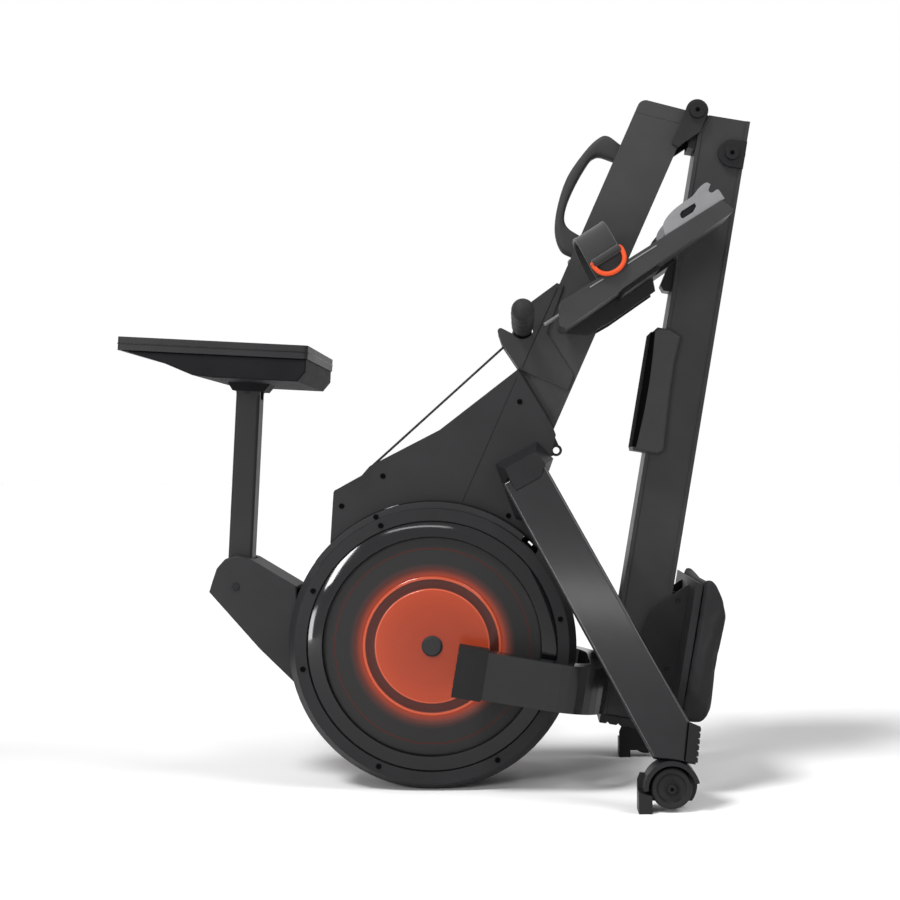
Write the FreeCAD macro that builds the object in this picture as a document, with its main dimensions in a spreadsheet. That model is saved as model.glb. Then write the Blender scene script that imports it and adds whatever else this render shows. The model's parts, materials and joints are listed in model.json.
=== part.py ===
"""Folding rowing machine, stored upright: front unit, folded seat rail, console and footplates.

Millimetres. X runs from the console (-) to the seat (+), Y across the machine with the near
side at -Y, Z up from the floor. The origin is the middle of the footprint box on the floor.
"""

import FreeCAD, Part
import math
import os

import Sketcher
from FreeCAD import Placement, Rotation, Vector

doc = FreeCAD.newDocument("folding_rower")
sheet = doc.addObject("Spreadsheet::Sheet", "sizes")
sheet.Label = "sizes"

SIZES = {
    # fold hinge, and how the two long members hang from it
    "hinge_x": (409.15, "fold pivot, along X"),
    "hinge_z": (1089, "fold pivot above the floor"),
    "open_angle": (175, "how far the rail swings open"),
    "hinge_pin_r": (8, "fold pin radius"),
    "hinge_eye_r": (18, "outer radius of the hinge eyes"),
    "knuckle_r": (14, "radius of the rail's knuckle"),
    "ear_wall": (7, "hinge ear thickness"),
    "fit_gap": (0.3, "gap between pieces that only meet"),
    "run_gap": (0.05, "radial clearance of a shaft that turns"),
    # main beam
    "beam_lean": (66.3, "beam angle above level"),
    "beam_depth": (86, "beam depth, in the fold plane"),
    "beam_width": (76, "beam width"),
    "beam_wall": (3, "beam tube wall"),
    "beam_length": (690, "pivot to the beam's lower end"),
    "beam_offset": (5, "pivot to the beam's near edge"),
    "end_gap": (2.5, "gap at the joint faces when unfolded"),
    "cap_length": (24, "length of the beam's end cap"),
    "tie_lug_r": (9.5, "tie lug outer radius"),
    "tie_hole_r": (5.4, "tie lug hole radius"),
    # seat rail
    "rail_lean": (80.65, "rail angle above level"),
    "rail_depth": (80, "rail depth, in the fold plane"),
    "rail_width": (76, "rail width"),
    "rail_wall": (3, "rail wall"),
    "rail_length": (985, "pivot to the rail's lower end"),
    "rail_offset": (8, "pivot to the rail's edge"),
    "track_height": (6, "height of the raised strip along each rail edge"),
    "track_proud": (2, "how far that strip stands out"),
    "rail_cap_length": (14, "length of the rail's end cap"),
    # flywheel housing
    "wheel_x": (-15.85, "flywheel axle, along X"),
    "rim_r": (230, "housing rim radius, which rests on the floor"),
    "rim_half": (62, "half width of the housing rim"),
    "face_r": (218, "housing face radius"),
    "face_half": (83, "half width over the housing faces"),
    "shell_wall": (3.5, "housing wall"),
    "ring_outer_r": (198, "gloss ring outer radius"),
    "ring_inner_r": (174, "gloss ring inner radius"),
    "lens_r": (111, "glowing lens radius"),
    "hub_r": (16.6, "hub cap radius"),
    "vent_width": (8, "width of a rim vent"),
    "vent_pitch": (7.5, "angle between rim vents"),
    "flywheel_r": (182, "flywheel radius"),
    "flywheel_width": (20, "flywheel thickness"),
    "axle_r": (10, "flywheel axle radius"),
    "bearing_r": (22, "flywheel bearing outer radius"),
    "pulley_r": (16, "small pulley radius, on the flywheel"),
    "reel_x": (-45.85, "strap reel, along X"),
    "reel_z": (503, "strap reel above the floor"),
    "reel_pulley_r": (34, "large pulley radius, on the reel"),
    "reel_drum_r": (22, "strap drum radius"),
    "reel_axle_r": (8, "reel axle radius"),
    "belt_width": (12, "drive belt width"),
    "belt_thickness": (2, "drive belt thickness"),
    "plate_wall": (6, "axle plate thickness"),
    # drive cover
    "cover_half": (60, "half width of the drive cover"),
    "cover_wall": (3, "drive cover wall"),
    # front legs and their wheels
    "leg_top_x": (129.15, "leg axis at its top, along X"),
    "leg_top_z": (503, "leg axis at its top, above the floor"),
    "leg_top_y": (79, "leg axis at its top, from the middle"),
    "leg_foot_x": (355.65, "leg axis at its foot, along X"),
    "leg_foot_z": (95, "leg axis at its foot, above the floor"),
    "leg_foot_y": (222, "leg axis at its foot, from the middle"),
    "leg_width": (74, "leg width"),
    "leg_thickness": (30, "leg thickness"),
    "cross_tube_r": (14, "leg cross tube radius"),
    "wheel_r": (31, "transport wheel radius"),
    "wheel_width": (26, "transport wheel width"),
    "wheel_lift": (5.4, "transport wheel above the floor when stored"),
    "bolt_r": (5, "wheel bolt radius"),
    "foot_block_x": (309.75, "stored foot block, along X"),
    "foot_block_length": (20, "stored foot block length"),
    # footplates
    "pedal_x": (184.45, "footplate hinge edge, along X"),
    "pedal_z": (765.7, "footplate hinge edge above the floor"),
    "pedal_lean": (32.2, "footplate angle above level"),
    "pedal_length": (291, "footplate length"),
    "pedal_inner": (61, "footplate inner side from the middle"),
    "pedal_outer": (181, "footplate outer side from the middle"),
    "heel_travel": (55, "heel cup travel"),
    "strap_width": (50, "foot strap width"),
    "strap_height": (74, "foot strap height above the footplate"),
    "strap_thickness": (3, "foot strap thickness"),
    # rowing handle
    "handle_r": (17.5, "handle grip radius"),
    "handle_bar_r": (12, "handle tube radius"),
    "handle_half": (240, "half length of the handle"),
    "cradle_along": (-434, "handle centre along the beam, from the pivot"),
    "cradle_out": (117, "handle centre out from the pivot line"),
    "tape_width": (22, "drive strap width"),
    "tape_thickness": (2.5, "drive strap thickness"),
    "exit_x": (-120.85, "strap exit, along X"),
    "exit_z": (514, "strap exit above the floor"),
    # console and its post
    "post_x": (-333.85, "post pivot, along X"),
    "post_z": (322, "post pivot above the floor"),
    "post_lean": (2.8, "post lean towards the machine"),
    "post_width": (39, "post width in the fold plane"),
    "post_depth": (44, "post depth across the machine"),
    "post_length": (318, "post pivot to console tilt pivot"),
    "arm_half": (47, "half width of the console arm"),
    "arm_radius": (43, "radius of the console arm's end"),
    "console_slope": (2.8, "console slope when stored"),
    "console_half": (160, "half width of the console"),
    "pin_r": (6, "post and tilt pin radius"),
    "lug_r": (12, "radius of the console's tilt lug"),
    "lug_half": (12, "half width of the console's tilt lug"),
    # seat
    "seat_half": (160, "half width of the seat"),
    "seat_base": (121, "pivot line to the seat's flat side"),
    "seat_low": (-965, "lower end of the seat along the rail"),
    "seat_high": (-724, "upper end of the seat along the rail"),
    "roller_r": (8.7, "seat roller radius"),
    "carriage_half": (53, "half width of the seat carriage"),
    # rear leg
    "rear_low": (-977, "rear leg's lower edge along the rail"),
    "rear_height": (74, "rear leg bar height"),
    "rear_bar": (34, "rear leg bar thickness"),
    "rear_half": (155, "half width over the rear leg"),
    "rear_bend": (80, "rear leg bend radius, at the bar's middle"),
    "rear_reach": (236, "rear leg reach from the pivot line"),
}


class Size:
    """A number that remembers the sheet expression it comes from."""

    def __init__(self, value, text):
        self.value = float(value)
        self.text = text

    def joined(self, other, sign, value):
        return Size(value, f"({self.text} {sign} {as_size(other).text})")

    def __add__(self, other):
        return self.joined(other, "+", self.value + as_size(other).value)

    def __radd__(self, other):
        return as_size(other) + self

    def __sub__(self, other):
        return self.joined(other, "-", self.value - as_size(other).value)

    def __rsub__(self, other):
        return as_size(other) - self

    def __mul__(self, other):
        return self.joined(other, "*", self.value * as_size(other).value)

    def __rmul__(self, other):
        return as_size(other) * self

    def __truediv__(self, other):
        return self.joined(other, "/", self.value / as_size(other).value)

    def __neg__(self):
        return Size(-self.value, f"(0 - {self.text})")


def as_size(item):
    return item if isinstance(item, Size) else Size(item, f"({float(item)!r})")


def sin(angle):
    angle = as_size(angle)
    return Size(math.sin(math.radians(angle.value)), f"sin({angle.text})")


def cos(angle):
    angle = as_size(angle)
    return Size(math.cos(math.radians(angle.value)), f"cos({angle.text})")


def tan(angle):
    return sin(angle) / cos(angle)


class Sheet:
    """The driving sizes, by name."""


S = Sheet()
for row, (alias, (value, note)) in enumerate(SIZES.items(), start=1):
    sheet.set(f"A{row}", note)
    sheet.set(f"B{row}", str(value))
    sheet.setAlias(f"B{row}", alias)
    setattr(S, alias, Size(value, f"sizes.{alias}"))
doc.recompute()

NODES = {}


# ---------------------------------------------------------------- building helpers


def keep(label, item):
    """Registers an object as a sub-part, under its own label."""
    item.Label = label
    NODES[label] = item
    return item


def bind(item, prop, size):
    size = as_size(size)
    item.setExpression(prop, size.text)


def new_body(label, node=True):
    body = doc.addObject("PartDesign::Body", label)
    body.Label = label
    if node:
        NODES[label] = body
    return body


def new_sketch(body, plane="XZ_Plane", offset=None):
    """A sketch on one of the body's own planes; offset runs along the plane's normal."""
    sketch = body.newObject("Sketcher::SketchObject", f"{body.Name}_sketch")
    support = next(f for f in body.Origin.OriginFeatures if f.Role == plane)
    sketch.AttachmentSupport = [(support, "")]
    sketch.MapMode = "FlatFace"
    if offset is not None:
        bind(sketch, "AttachmentOffset.Base.z", offset)
    return sketch


def hold(sketch, kind, size, *where):
    """Adds a driving constraint and ties it to the sheet."""
    size = as_size(size)
    index = sketch.addConstraint(Sketcher.Constraint(kind, *where, size.value))
    sketch.setExpression(f"Constraints[{index}]", size.text)


def draw_loop(sketch, points):
    """A closed outline through the points, each held by its two coordinates."""
    points = [(as_size(x), as_size(y)) for x, y in points]
    first = sketch.GeometryCount
    count = len(points)
    for i, (x, y) in enumerate(points):
        nx, ny = points[(i + 1) % count]
        start = Vector(x.value, y.value, 0)
        end = Vector(nx.value, ny.value, 0)
        sketch.addGeometry(Part.LineSegment(start, end), False)
    for i in range(count):
        following = first + (i + 1) % count
        sketch.addConstraint(Sketcher.Constraint("Coincident", first + i, 2, following, 1))
    for i, (x, y) in enumerate(points):
        hold(sketch, "DistanceX", x, -1, 1, first + i, 1)
        hold(sketch, "DistanceY", y, -1, 1, first + i, 1)


def draw_circle(sketch, x, y, radius):
    x, y, radius = as_size(x), as_size(y), as_size(radius)
    index = sketch.GeometryCount
    centre = Vector(x.value, y.value, 0)
    sketch.addGeometry(Part.Circle(centre, Vector(0, 0, 1), radius.value), False)
    hold(sketch, "DistanceX", x, -1, 1, index, 3)
    hold(sketch, "DistanceY", y, -1, 1, index, 3)
    hold(sketch, "Radius", radius, index)


def extrude(body, kind, sketch, length, symmetric=False, backwards=False):
    feature = body.newObject(f"PartDesign::{kind}", f"{body.Name}_{kind.lower()}")
    feature.Profile = sketch
    bind(feature, "Length", length)
    feature.SideType = "Symmetric" if symmetric else "One side"
    feature.Reversed = backwards
    doc.recompute()
    return feature


def add_band(body, points, low, high):
    """Adds material over a side outline, from y = low to y = high."""
    sketch = new_sketch(body, offset=-as_size(high))
    draw_loop(sketch, points)
    return extrude(body, "Pad", sketch, as_size(high) - low)


def cut_band(body, points, low, high):
    """Cuts a side outline away, from y = low to y = high."""
    sketch = new_sketch(body, offset=-as_size(low))
    draw_loop(sketch, points)
    return cut_checked(body, sketch, as_size(high) - low)


def add_disc(body, x, z, radius, low, high):
    sketch = new_sketch(body, offset=-as_size(high))
    draw_circle(sketch, x, z, radius)
    return extrude(body, "Pad", sketch, as_size(high) - low)


def cut_disc(body, x, z, radius, low, high):
    sketch = new_sketch(body, offset=-as_size(low))
    draw_circle(sketch, x, z, radius)
    return cut_checked(body, sketch, as_size(high) - low)


def inset(points, wall):
    """A clockwise outline moved inwards by a wall thickness."""
    points = [(as_size(x), as_size(y)) for x, y in points]
    moved = []
    for i, (x, y) in enumerate(points):
        before, after = points[i - 1], points[(i + 1) % len(points)]
        runs = ((before[0], before[1], x, y), (x, y, after[0], after[1]))
        normals = []
        for x0, y0, x1, y1 in runs:
            run = Vector(x1.value - x0.value, y1.value - y0.value, 0).normalize()
            normals.append(Vector(run.y, -run.x, 0))
        step = (normals[0] + normals[1]) / (1 + normals[0].dot(normals[1]))
        moved.append((x + wall * step.x, y + wall * step.y))
    return moved


def cut_checked(body, sketch, length):
    before = body.Tip.Shape.Volume
    feature = extrude(body, "Pocket", sketch, length)
    if feature.Shape.Volume > before - 1e-3:
        raise RuntimeError(f"{body.Label}: a pocket cuts nothing")
    return feature


def edges_at(shape, points, axis="y"):
    """Names of the straight edges along axis that stand on the given points."""
    across = {"x": ("y", "z"), "y": ("x", "z"), "z": ("x", "y")}[axis]
    names = []
    for index, edge in enumerate(shape.Edges, start=1):
        if len(edge.Vertexes) != 2:
            continue
        ends = [v.Point for v in edge.Vertexes]
        if abs(getattr(ends[0], axis) - getattr(ends[1], axis)) < 1e-4:
            continue
        for point in points:
            wanted = [as_size(c).value for c in point]
            offsets = [
                abs(getattr(end, name) - target)
                for end in ends
                for name, target in zip(across, wanted)
            ]
            if max(offsets) < 1e-3:
                names.append(f"Edge{index}")
                break
    return names


def fillet_edges(body, names, radius, kind="Fillet"):
    if not names:
        raise RuntimeError(f"{body.Label}: no edge to round")
    base = body.Tip
    feature = body.newObject(f"PartDesign::{kind}", f"{body.Name}_{kind.lower()}")
    feature.Base = (base, names)
    bind(feature, "Radius" if kind == "Fillet" else "Size", radius)
    doc.recompute()
    return feature


def round_corners(body, points, radius, axis="y"):
    """Rounds the upright corners of an outline at the given points."""
    return fillet_edges(body, edges_at(body.Tip.Shape, points, axis), radius)


def soften(body, radius, kind="Fillet"):
    """Eases every edge that lies in the body's two outermost side faces."""
    shape = body.Tip.Shape
    box = shape.BoundBox
    names = []
    for index, edge in enumerate(shape.Edges, start=1):
        size = edge.BoundBox
        flat = size.YLength < 1e-3
        outermost = abs(size.YMin - box.YMin) < 1e-3 or abs(size.YMax - box.YMax) < 1e-3
        if flat and outermost:
            names.append(f"Edge{index}")
    return fillet_edges(body, names, radius, kind)


def revolve(body, points, cut=False):
    """Turns an outline of (radius, height) points about the body's Z axis."""
    sketch = new_sketch(body)
    draw_loop(sketch, points)
    kind = "Groove" if cut else "Revolution"
    feature = body.newObject(f"PartDesign::{kind}", f"{body.Name}_{kind.lower()}")
    feature.Profile = sketch
    feature.ReferenceAxis = (sketch, ["V_Axis"])
    feature.Angle = 360
    doc.recompute()
    return feature


def place(item, x, y, z, angle=0, axis=(0, 1, 0)):
    """Sets where an object stands: a point, and a turn about an axis (across, by default)."""
    item.Placement = Placement(Vector(0, 0, 0), Rotation(Vector(*axis), 1))
    for name, size in zip("xyz", (x, y, z)):
        bind(item, f"Placement.Base.{name}", size)
    bind(item, "Placement.Rotation.Angle", angle)
    return item


def stand(item, rotation, x, y, z):
    """Sets where an object stands when its turn is a fixed one: only the point is driven."""
    item.Placement = Placement(Vector(0, 0, 0), rotation)
    for name, size in zip("xyz", (x, y, z)):
        bind(item, f"Placement.Base.{name}", size)
    return item


def on_beam(item):
    """Beam frame: X up the beam to the pivot, Z out of its upper face in use."""
    return place(item, S.hinge_x, 0, S.hinge_z, -S.beam_lean)


def on_rail(item):
    """Rail frame: X up the rail to the pivot, Z towards its underside in use."""
    return place(item, S.hinge_x, 0, S.hinge_z, -S.rail_lean)


def on_pedal(item):
    """Footplate frame: X from the toe edge to the heel edge, Z out of the tread."""
    return place(item, S.pedal_x, 0, S.pedal_z, -S.pedal_lean)


def on_axle(item, side):
    """Wheel frame: Z out along the axle, to the near side (-1) or the far side (+1)."""
    return place(item, S.wheel_x, 0, S.rim_r, -90 * side, axis=(1, 0, 0))


def on_leg(item, side):
    """Leg frame: X down the leg, Y across it, Z towards its upper edge."""
    run = S.leg_foot_x - S.leg_top_x
    drop = S.leg_top_z - S.leg_foot_z
    flare = S.leg_foot_y - S.leg_top_y
    pitch = math.degrees(math.atan2(drop.value, run.value))
    splay = math.degrees(math.atan2(side * flare.value, math.hypot(run.value, drop.value)))
    turn = Rotation(Vector(0, 1, 0), pitch) * Rotation(Vector(0, 0, 1), splay)
    return stand(item, turn, S.leg_top_x, side * S.leg_top_y, S.leg_top_z)


def number(alias):
    return getattr(S, alias).value


def rod(label, radius, length, node=True):
    """A plain round bar along its own Z axis, from its origin."""
    item = doc.addObject("Part::Cylinder", label)
    bind(item, "Radius", radius)
    bind(item, "Height", length)
    return keep(label, item) if node else item


def cross_rod(label, radius, x, z, low, high, node=True):
    """A round bar across the machine, from y = low to y = high."""
    item = rod(label, radius, as_size(high) - low, node)
    return place(item, x, high, z, 90, axis=(1, 0, 0))


def group(label, members):
    """Several separate solids that make up one sub-part."""
    item = doc.addObject("Part::Compound", label)
    item.Links = members
    return keep(label, item)


def subtract(label, base, tools):
    """A sub-part made by cutting other shapes out of a base shape."""
    if len(tools) > 1:
        tool = doc.addObject("Part::MultiFuse", f"{label}_tools")
        tool.Shapes = tools
    else:
        tool = tools[0]
    item = doc.addObject("Part::Cut", label)
    item.Base = base
    item.Tool = tool
    return keep(label, item)


def mirrored(points):
    """An outline's other half: the same points with the first coordinate's sign turned."""
    return [(-as_size(x), y) for x, y in reversed(points)]


# ---------------------------------------------------------------- main beam and fold hinge

beam_low = -S.beam_length
beam_near = S.beam_offset
beam_far = S.beam_offset + S.beam_depth
beam_half = S.beam_width / 2
# the joint faces meet square to the rail when the machine is open
face_tilt = S.rail_lean + S.open_angle - 180 - S.beam_lean


def face_x(out, gap):
    """Where the beam's end face lies along the beam, at a distance out from the pivot line."""
    return -(gap + tan(face_tilt) * out)


relief_r = S.knuckle_r + 2
cap_seam = S.cap_length + S.end_gap


def build_beam():
    body = new_body("main_beam")
    outer = [
        (beam_low, beam_near),
        (face_x(beam_near, cap_seam), beam_near),
        (face_x(beam_far, cap_seam), beam_far),
        (beam_low, beam_far),
    ]
    add_band(body, outer, -beam_half, beam_half)
    inner_half = beam_half - S.beam_wall
    inside = [
        (beam_low - 1, beam_near + S.beam_wall),
        (0, beam_near + S.beam_wall),
        (0, beam_far - S.beam_wall),
        (beam_low - 1, beam_far - S.beam_wall),
    ]
    cut_band(body, inside, -inner_half, inner_half)
    lug_along, lug_out = -592, -13
    lug_root = 26
    lug_wall = 4
    lug = [
        (lug_along - lug_root, beam_near),
        (lug_along, lug_out - S.tie_lug_r),
        (lug_along + S.tie_lug_r, lug_out),
        (lug_along + lug_root, beam_near),
    ]
    add_band(body, lug, -lug_wall, lug_wall)
    add_disc(body, lug_along, lug_out, S.tie_lug_r, -lug_wall, lug_wall)
    cut_disc(body, lug_along, lug_out, S.tie_hole_r, -lug_wall - 1, lug_wall + 1)
    NODES.pop("main_beam")
    body.Label = "beam_tube"
    on_beam(body)
    hole_r = S.cross_tube_r + 0.05
    wide = beam_half + 1
    hole = cross_rod("cross_tube_hole", hole_r, S.leg_top_x, S.leg_top_z, -wide, wide, node=False)
    subtract("main_beam", body, [hole])

    cap = new_body("beam_end_cap")
    skirt = [
        (face_x(beam_near, cap_seam - S.fit_gap), beam_near),
        (face_x(beam_near, S.end_gap), beam_near),
        (face_x(beam_far, S.end_gap), beam_far),
        (face_x(beam_far, cap_seam - S.fit_gap), beam_far),
    ]
    add_band(cap, skirt, -beam_half, beam_half)
    corner_r = 14
    round_corners(cap, [skirt[2]], corner_r)
    spigot_half = beam_half - S.beam_wall - S.fit_gap
    spigot_inset = S.beam_wall + S.fit_gap
    spigot_length = 20
    spigot = [
        (face_x(beam_near, cap_seam) - spigot_length, beam_near + spigot_inset),
        (face_x(beam_near, cap_seam) + 1, beam_near + spigot_inset),
        (face_x(beam_far, cap_seam) + 1, beam_far - spigot_inset),
        (face_x(beam_far, cap_seam) - spigot_length, beam_far - spigot_inset),
    ]
    add_band(cap, spigot, -spigot_half, spigot_half)
    cut_disc(cap, 0, 0, relief_r, -beam_half - 1, beam_half + 1)
    on_beam(cap)


def build_hinge():
    """Two ears on the beam's sides, and the pin with its head and nut."""
    ear_low = beam_half + S.fit_gap / 2
    ear_high = ear_low + S.ear_wall
    root_x, root_depth = -66, 11
    outline = [
        (0, -S.hinge_eye_r),
        (-30, -S.hinge_eye_r),
        (root_x, beam_near),
        (root_x, beam_near + root_depth),
        (-30, beam_near + root_depth),
        (0, S.hinge_eye_r),
    ]
    ears = []
    for name, low, high in (("near", -ear_high, -ear_low), ("far", ear_low, ear_high)):
        ear = new_body(f"hinge_ear_{name}", node=False)
        add_band(ear, outline, low, high)
        add_disc(ear, 0, 0, S.hinge_eye_r, low, high)
        cut_disc(ear, 0, 0, S.hinge_pin_r + S.run_gap, low - 1, as_size(high) + 1)
        round_corners(ear, [outline[2], outline[3]], 4)
        ears.append(on_beam(ear))
    group("hinge_ears", ears)

    pin = new_body("hinge_pin")
    head_length = 6
    reach = ear_high + S.fit_gap
    profile = [
        (0, -reach - head_length),
        (S.hinge_pin_r + 5, -reach - head_length),
        (S.hinge_pin_r + 5, -reach),
        (S.hinge_pin_r, -reach),
        (S.hinge_pin_r, reach),
        (S.hinge_pin_r + 5, reach),
        (S.hinge_pin_r + 5, reach + head_length),
        (0, reach + head_length),
    ]
    revolve(pin, profile)
    place(pin, S.hinge_x, 0, S.hinge_z, 90, axis=(1, 0, 0))


def build_lift_handle():
    """A closed loop grip on the beam's upper face, to tip and roll the machine."""
    body = new_body("lift_handle")
    seat = beam_far + S.fit_gap
    crown = beam_far + 60
    thickness = 20
    grip_half = 15
    top_x, low_x = -85, -294
    outer = [
        (top_x, seat),
        (top_x, beam_far + 34),
        (-122, beam_far + 50),
        (-176, crown),
        (-232, beam_far + 53),
        (low_x, beam_far + 22),
        (low_x, seat),
    ]
    add_band(body, outer, -grip_half, grip_half)
    inner = [
        (top_x - 38, seat - 1),
        (top_x - 38, beam_far + 26),
        (-140, beam_far + 36),
        (-178, crown - thickness),
        (-228, beam_far + 36),
        (low_x + 41, beam_far + 14),
        (low_x + 41, seat - 1),
    ]
    cut_band(body, inner, -grip_half - 1, grip_half + 1)
    round_corners(body, [outer[1], outer[2], outer[3], outer[4], outer[5]], 14)
    round_corners(body, [inner[1], inner[2], inner[3], inner[4], inner[5]], 10)
    soften(body, 6)
    on_beam(body)


def build_cradle():
    """The saddle cover that carries the rowing handle, with a hook at its lip."""
    body = new_body("handle_cradle")
    wall = 4
    skin_low = beam_half + S.fit_gap
    skin_high = skin_low + wall
    top = beam_far + S.fit_gap
    roof = top + wall
    hook = (-447, beam_far + 68)
    outline = [
        (-497, beam_near + 4),
        (-497, roof),
        (-470, beam_far + 47),
        hook,
        (-449, beam_far + 30),
        (-395, beam_far + 33),
        (-345, roof),
        (-345, top - 8),
        (-425, beam_near + 73),
        (-470, beam_near + 6),
    ]
    add_band(body, outline, -skin_high, skin_high)
    round_corners(body, [hook], 5)
    inside = [
        (-520, beam_near - 10),
        (-520, top),
        (-330, top),
        (-330, beam_near - 10),
    ]
    cut_band(body, inside, -skin_low, skin_low)
    notch_r = S.handle_r + S.fit_gap
    cut_disc(body, S.cradle_along, S.cradle_out, notch_r, -skin_high - 1, skin_high + 1)
    # the handle leaves its notch up the slope between "out" and "along"
    side_step = notch_r * cos(45)
    lift_out = [
        (S.cradle_along - side_step, S.cradle_out + side_step),
        (S.cradle_along + side_step, S.cradle_out - side_step),
        (S.cradle_along + side_step + 60, S.cradle_out - side_step + 60),
        (S.cradle_along - side_step + 60, S.cradle_out + side_step + 60),
    ]
    cut_band(body, lift_out, -skin_high - 1, skin_high + 1)
    slot_half = S.tape_width / 2 + 4
    slot = [(-530, roof), (-530, beam_far + 90), (-420, beam_far + 90), (-420, roof)]
    cut_band(body, slot, -slot_half, slot_half)
    on_beam(body)


# underside of a footplate: its height at the toe end and at the heel end
under_toe = -38
under_heel = -24


def footplate_under(along):
    """Height of a footplate's underside at a place along it."""
    return under_heel + (under_toe - under_heel) * (S.pedal_length + 4 - along) / (S.pedal_length + 18)


def build_pedal_bracket():
    """The welded cross plate that carries both footplates on the beam."""
    body = new_body("pedal_bracket")
    reach = S.pedal_outer - 26
    plate_wall = 6
    left, right = 92, 160
    top_left = footplate_under(left) - S.fit_gap
    top_right = footplate_under(right) - S.fit_gap
    plate = [
        (left, top_left),
        (left, top_left - plate_wall),
        (right, top_right - plate_wall),
        (right, top_right),
    ]
    add_band(body, plate, -reach, reach)
    gusset_low = beam_half + S.fit_gap
    gusset_high = gusset_low + 8
    gusset = [
        (-8, footplate_under(-8)),
        (right, top_right),
        (right - 10, top_right - 26),
        (64, top_left - 27),
        (22, top_left - 25),
    ]
    for low, high in ((-gusset_high, -gusset_low), (gusset_low, gusset_high)):
        add_band(body, gusset, low, high)
    on_pedal(body)


# ---------------------------------------------------------------- flywheel and its housing


def build_housing(name, side):
    """One half of the housing: a turned shell with vents in its rim and a hatch for the belt."""
    body = new_body(f"shroud_{name}", node=False)
    wall = S.shell_wall
    seat = S.face_half - 7
    profile = [
        (S.rim_r, S.fit_gap / 2),
        (S.rim_r, S.rim_half),
        (S.face_r, S.face_half),
        (S.ring_outer_r + 1.5, S.face_half),
        (S.ring_outer_r + 1.5, seat),
        (S.ring_inner_r - 1, seat),
        (S.ring_inner_r - 1, seat - wall),
        (S.ring_outer_r + 5, seat - wall),
        (S.ring_outer_r + 5, S.face_half - wall),
        (S.face_r - 2, S.face_half - wall),
        (S.rim_r - wall, S.rim_half - 1),
        (S.rim_r - wall, S.fit_gap / 2),
    ]
    revolve(body, profile)
    # vents through the sloping edge of the rim, in the quarter towards the seat rail
    slots = new_sketch(body, "YZ_Plane", offset=S.face_r - 6)
    vent_low = S.rim_half - 6
    vent_high = S.face_half - 3
    slot = [
        (-S.vent_width / 2, vent_low),
        (S.vent_width / 2, vent_low),
        (S.vent_width / 2, vent_high),
        (-S.vent_width / 2, vent_high),
    ]
    draw_loop(slots, slot)
    first = extrude(body, "Pocket", slots, 40, backwards=True)
    vent_count = 17
    pattern = body.newObject("PartDesign::PolarPattern", f"{body.Name}_vents")
    pattern.Originals = [first]
    pattern.Axis = (slots, ["V_Axis"])
    bind(pattern, "Angle", S.vent_pitch * (vent_count - 1))
    pattern.Occurrences = vent_count
    # side -1 turns the near half over, so its vents run the other way round
    pattern.Reversed = side < 0
    body.Tip = pattern
    doc.recompute()
    first_vent = 52
    flip = Rotation(Vector(1, 0, 0), -90 * side)
    start = Rotation(Vector(0, 0, 1), -first_vent * side)
    stand(body, flip * start, S.wheel_x, 0, S.rim_r)

    hatch = new_body(f"hatch_{name}", node=False)
    hatch_half = S.rim_half - 10
    above = S.rim_r * 0.8
    outline = [(-85, above), (110, above * 0.8), (175, above * 1.15), (80, S.rim_r + 60), (-75, S.rim_r + 60)]
    add_band(hatch, outline, -hatch_half, hatch_half)
    place(hatch, S.wheel_x, 0, S.rim_r)
    subtract(f"shroud_{name}", body, [hatch])


def build_housing_trim():
    seat = S.face_half - 7 + S.fit_gap
    face = S.face_half - 6
    recess = face - 5
    wall = S.shell_wall
    rings, discs, lenses, caps = [], [], [], []
    for name, side in (("near", -1), ("far", 1)):
        ring = new_body(f"ring_{name}", node=False)
        middle = (S.ring_outer_r + S.ring_inner_r) / 2
        crown = S.face_half + 3
        revolve(
            ring,
            [
                (S.ring_inner_r, seat),
                (S.ring_outer_r, seat),
                (S.ring_outer_r, crown - 3),
                (middle + 6, crown),
                (middle - 4, crown),
                (S.ring_inner_r, crown - 6),
            ],
        )
        rings.append(on_axle(ring, side))
        disc = new_body(f"disc_{name}", node=False)
        revolve(
            disc,
            [
                (S.hub_r + S.fit_gap, recess - wall),
                (S.lens_r + 4.5, recess - wall),
                (S.ring_inner_r - 1.3, face - wall - 1),
                (S.ring_inner_r - 1.3, face),
                (S.lens_r + 14, face),
                (S.lens_r + 1, recess + 2),
                (S.lens_r + 1, recess),
                (S.hub_r + S.fit_gap, recess),
            ],
        )
        discs.append(on_axle(disc, side))
        lens = new_body(f"lens_{name}", node=False)
        disc_r = S.lens_r - 20
        revolve(
            lens,
            [
                (S.hub_r + S.fit_gap, recess + S.fit_gap),
                (S.lens_r, recess + S.fit_gap),
                (S.lens_r, recess + 4.5),
                (S.lens_r - 5, recess + 5.5),
                (S.lens_r - 6, recess + 2.5),
                (disc_r + 1.5, recess + 2.5),
                (disc_r, recess + 6),
                (S.hub_r + S.fit_gap, recess + 8),
            ],
        )
        lenses.append(on_axle(lens, side))
        cap = new_body(f"hub_{name}", node=False)
        revolve(
            cap,
            [
                (0, recess - 12),
                (S.hub_r - 4, recess - 12),
                (S.hub_r, recess - 8),
                (S.hub_r, recess + 9),
                (S.hub_r - 3, recess + 12),
                (0, recess + 12),
            ],
        )
        caps.append(on_axle(cap, side))
    group("gloss_rings", rings)
    group("side_discs", discs)
    group("glow_lenses", lenses)
    group("hub_caps", caps)


flywheel_front = S.flywheel_width * 0.75
flywheel_back = flywheel_front - S.flywheel_width
belt_front = -16
belt_back = belt_front - S.belt_width - 2


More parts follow.
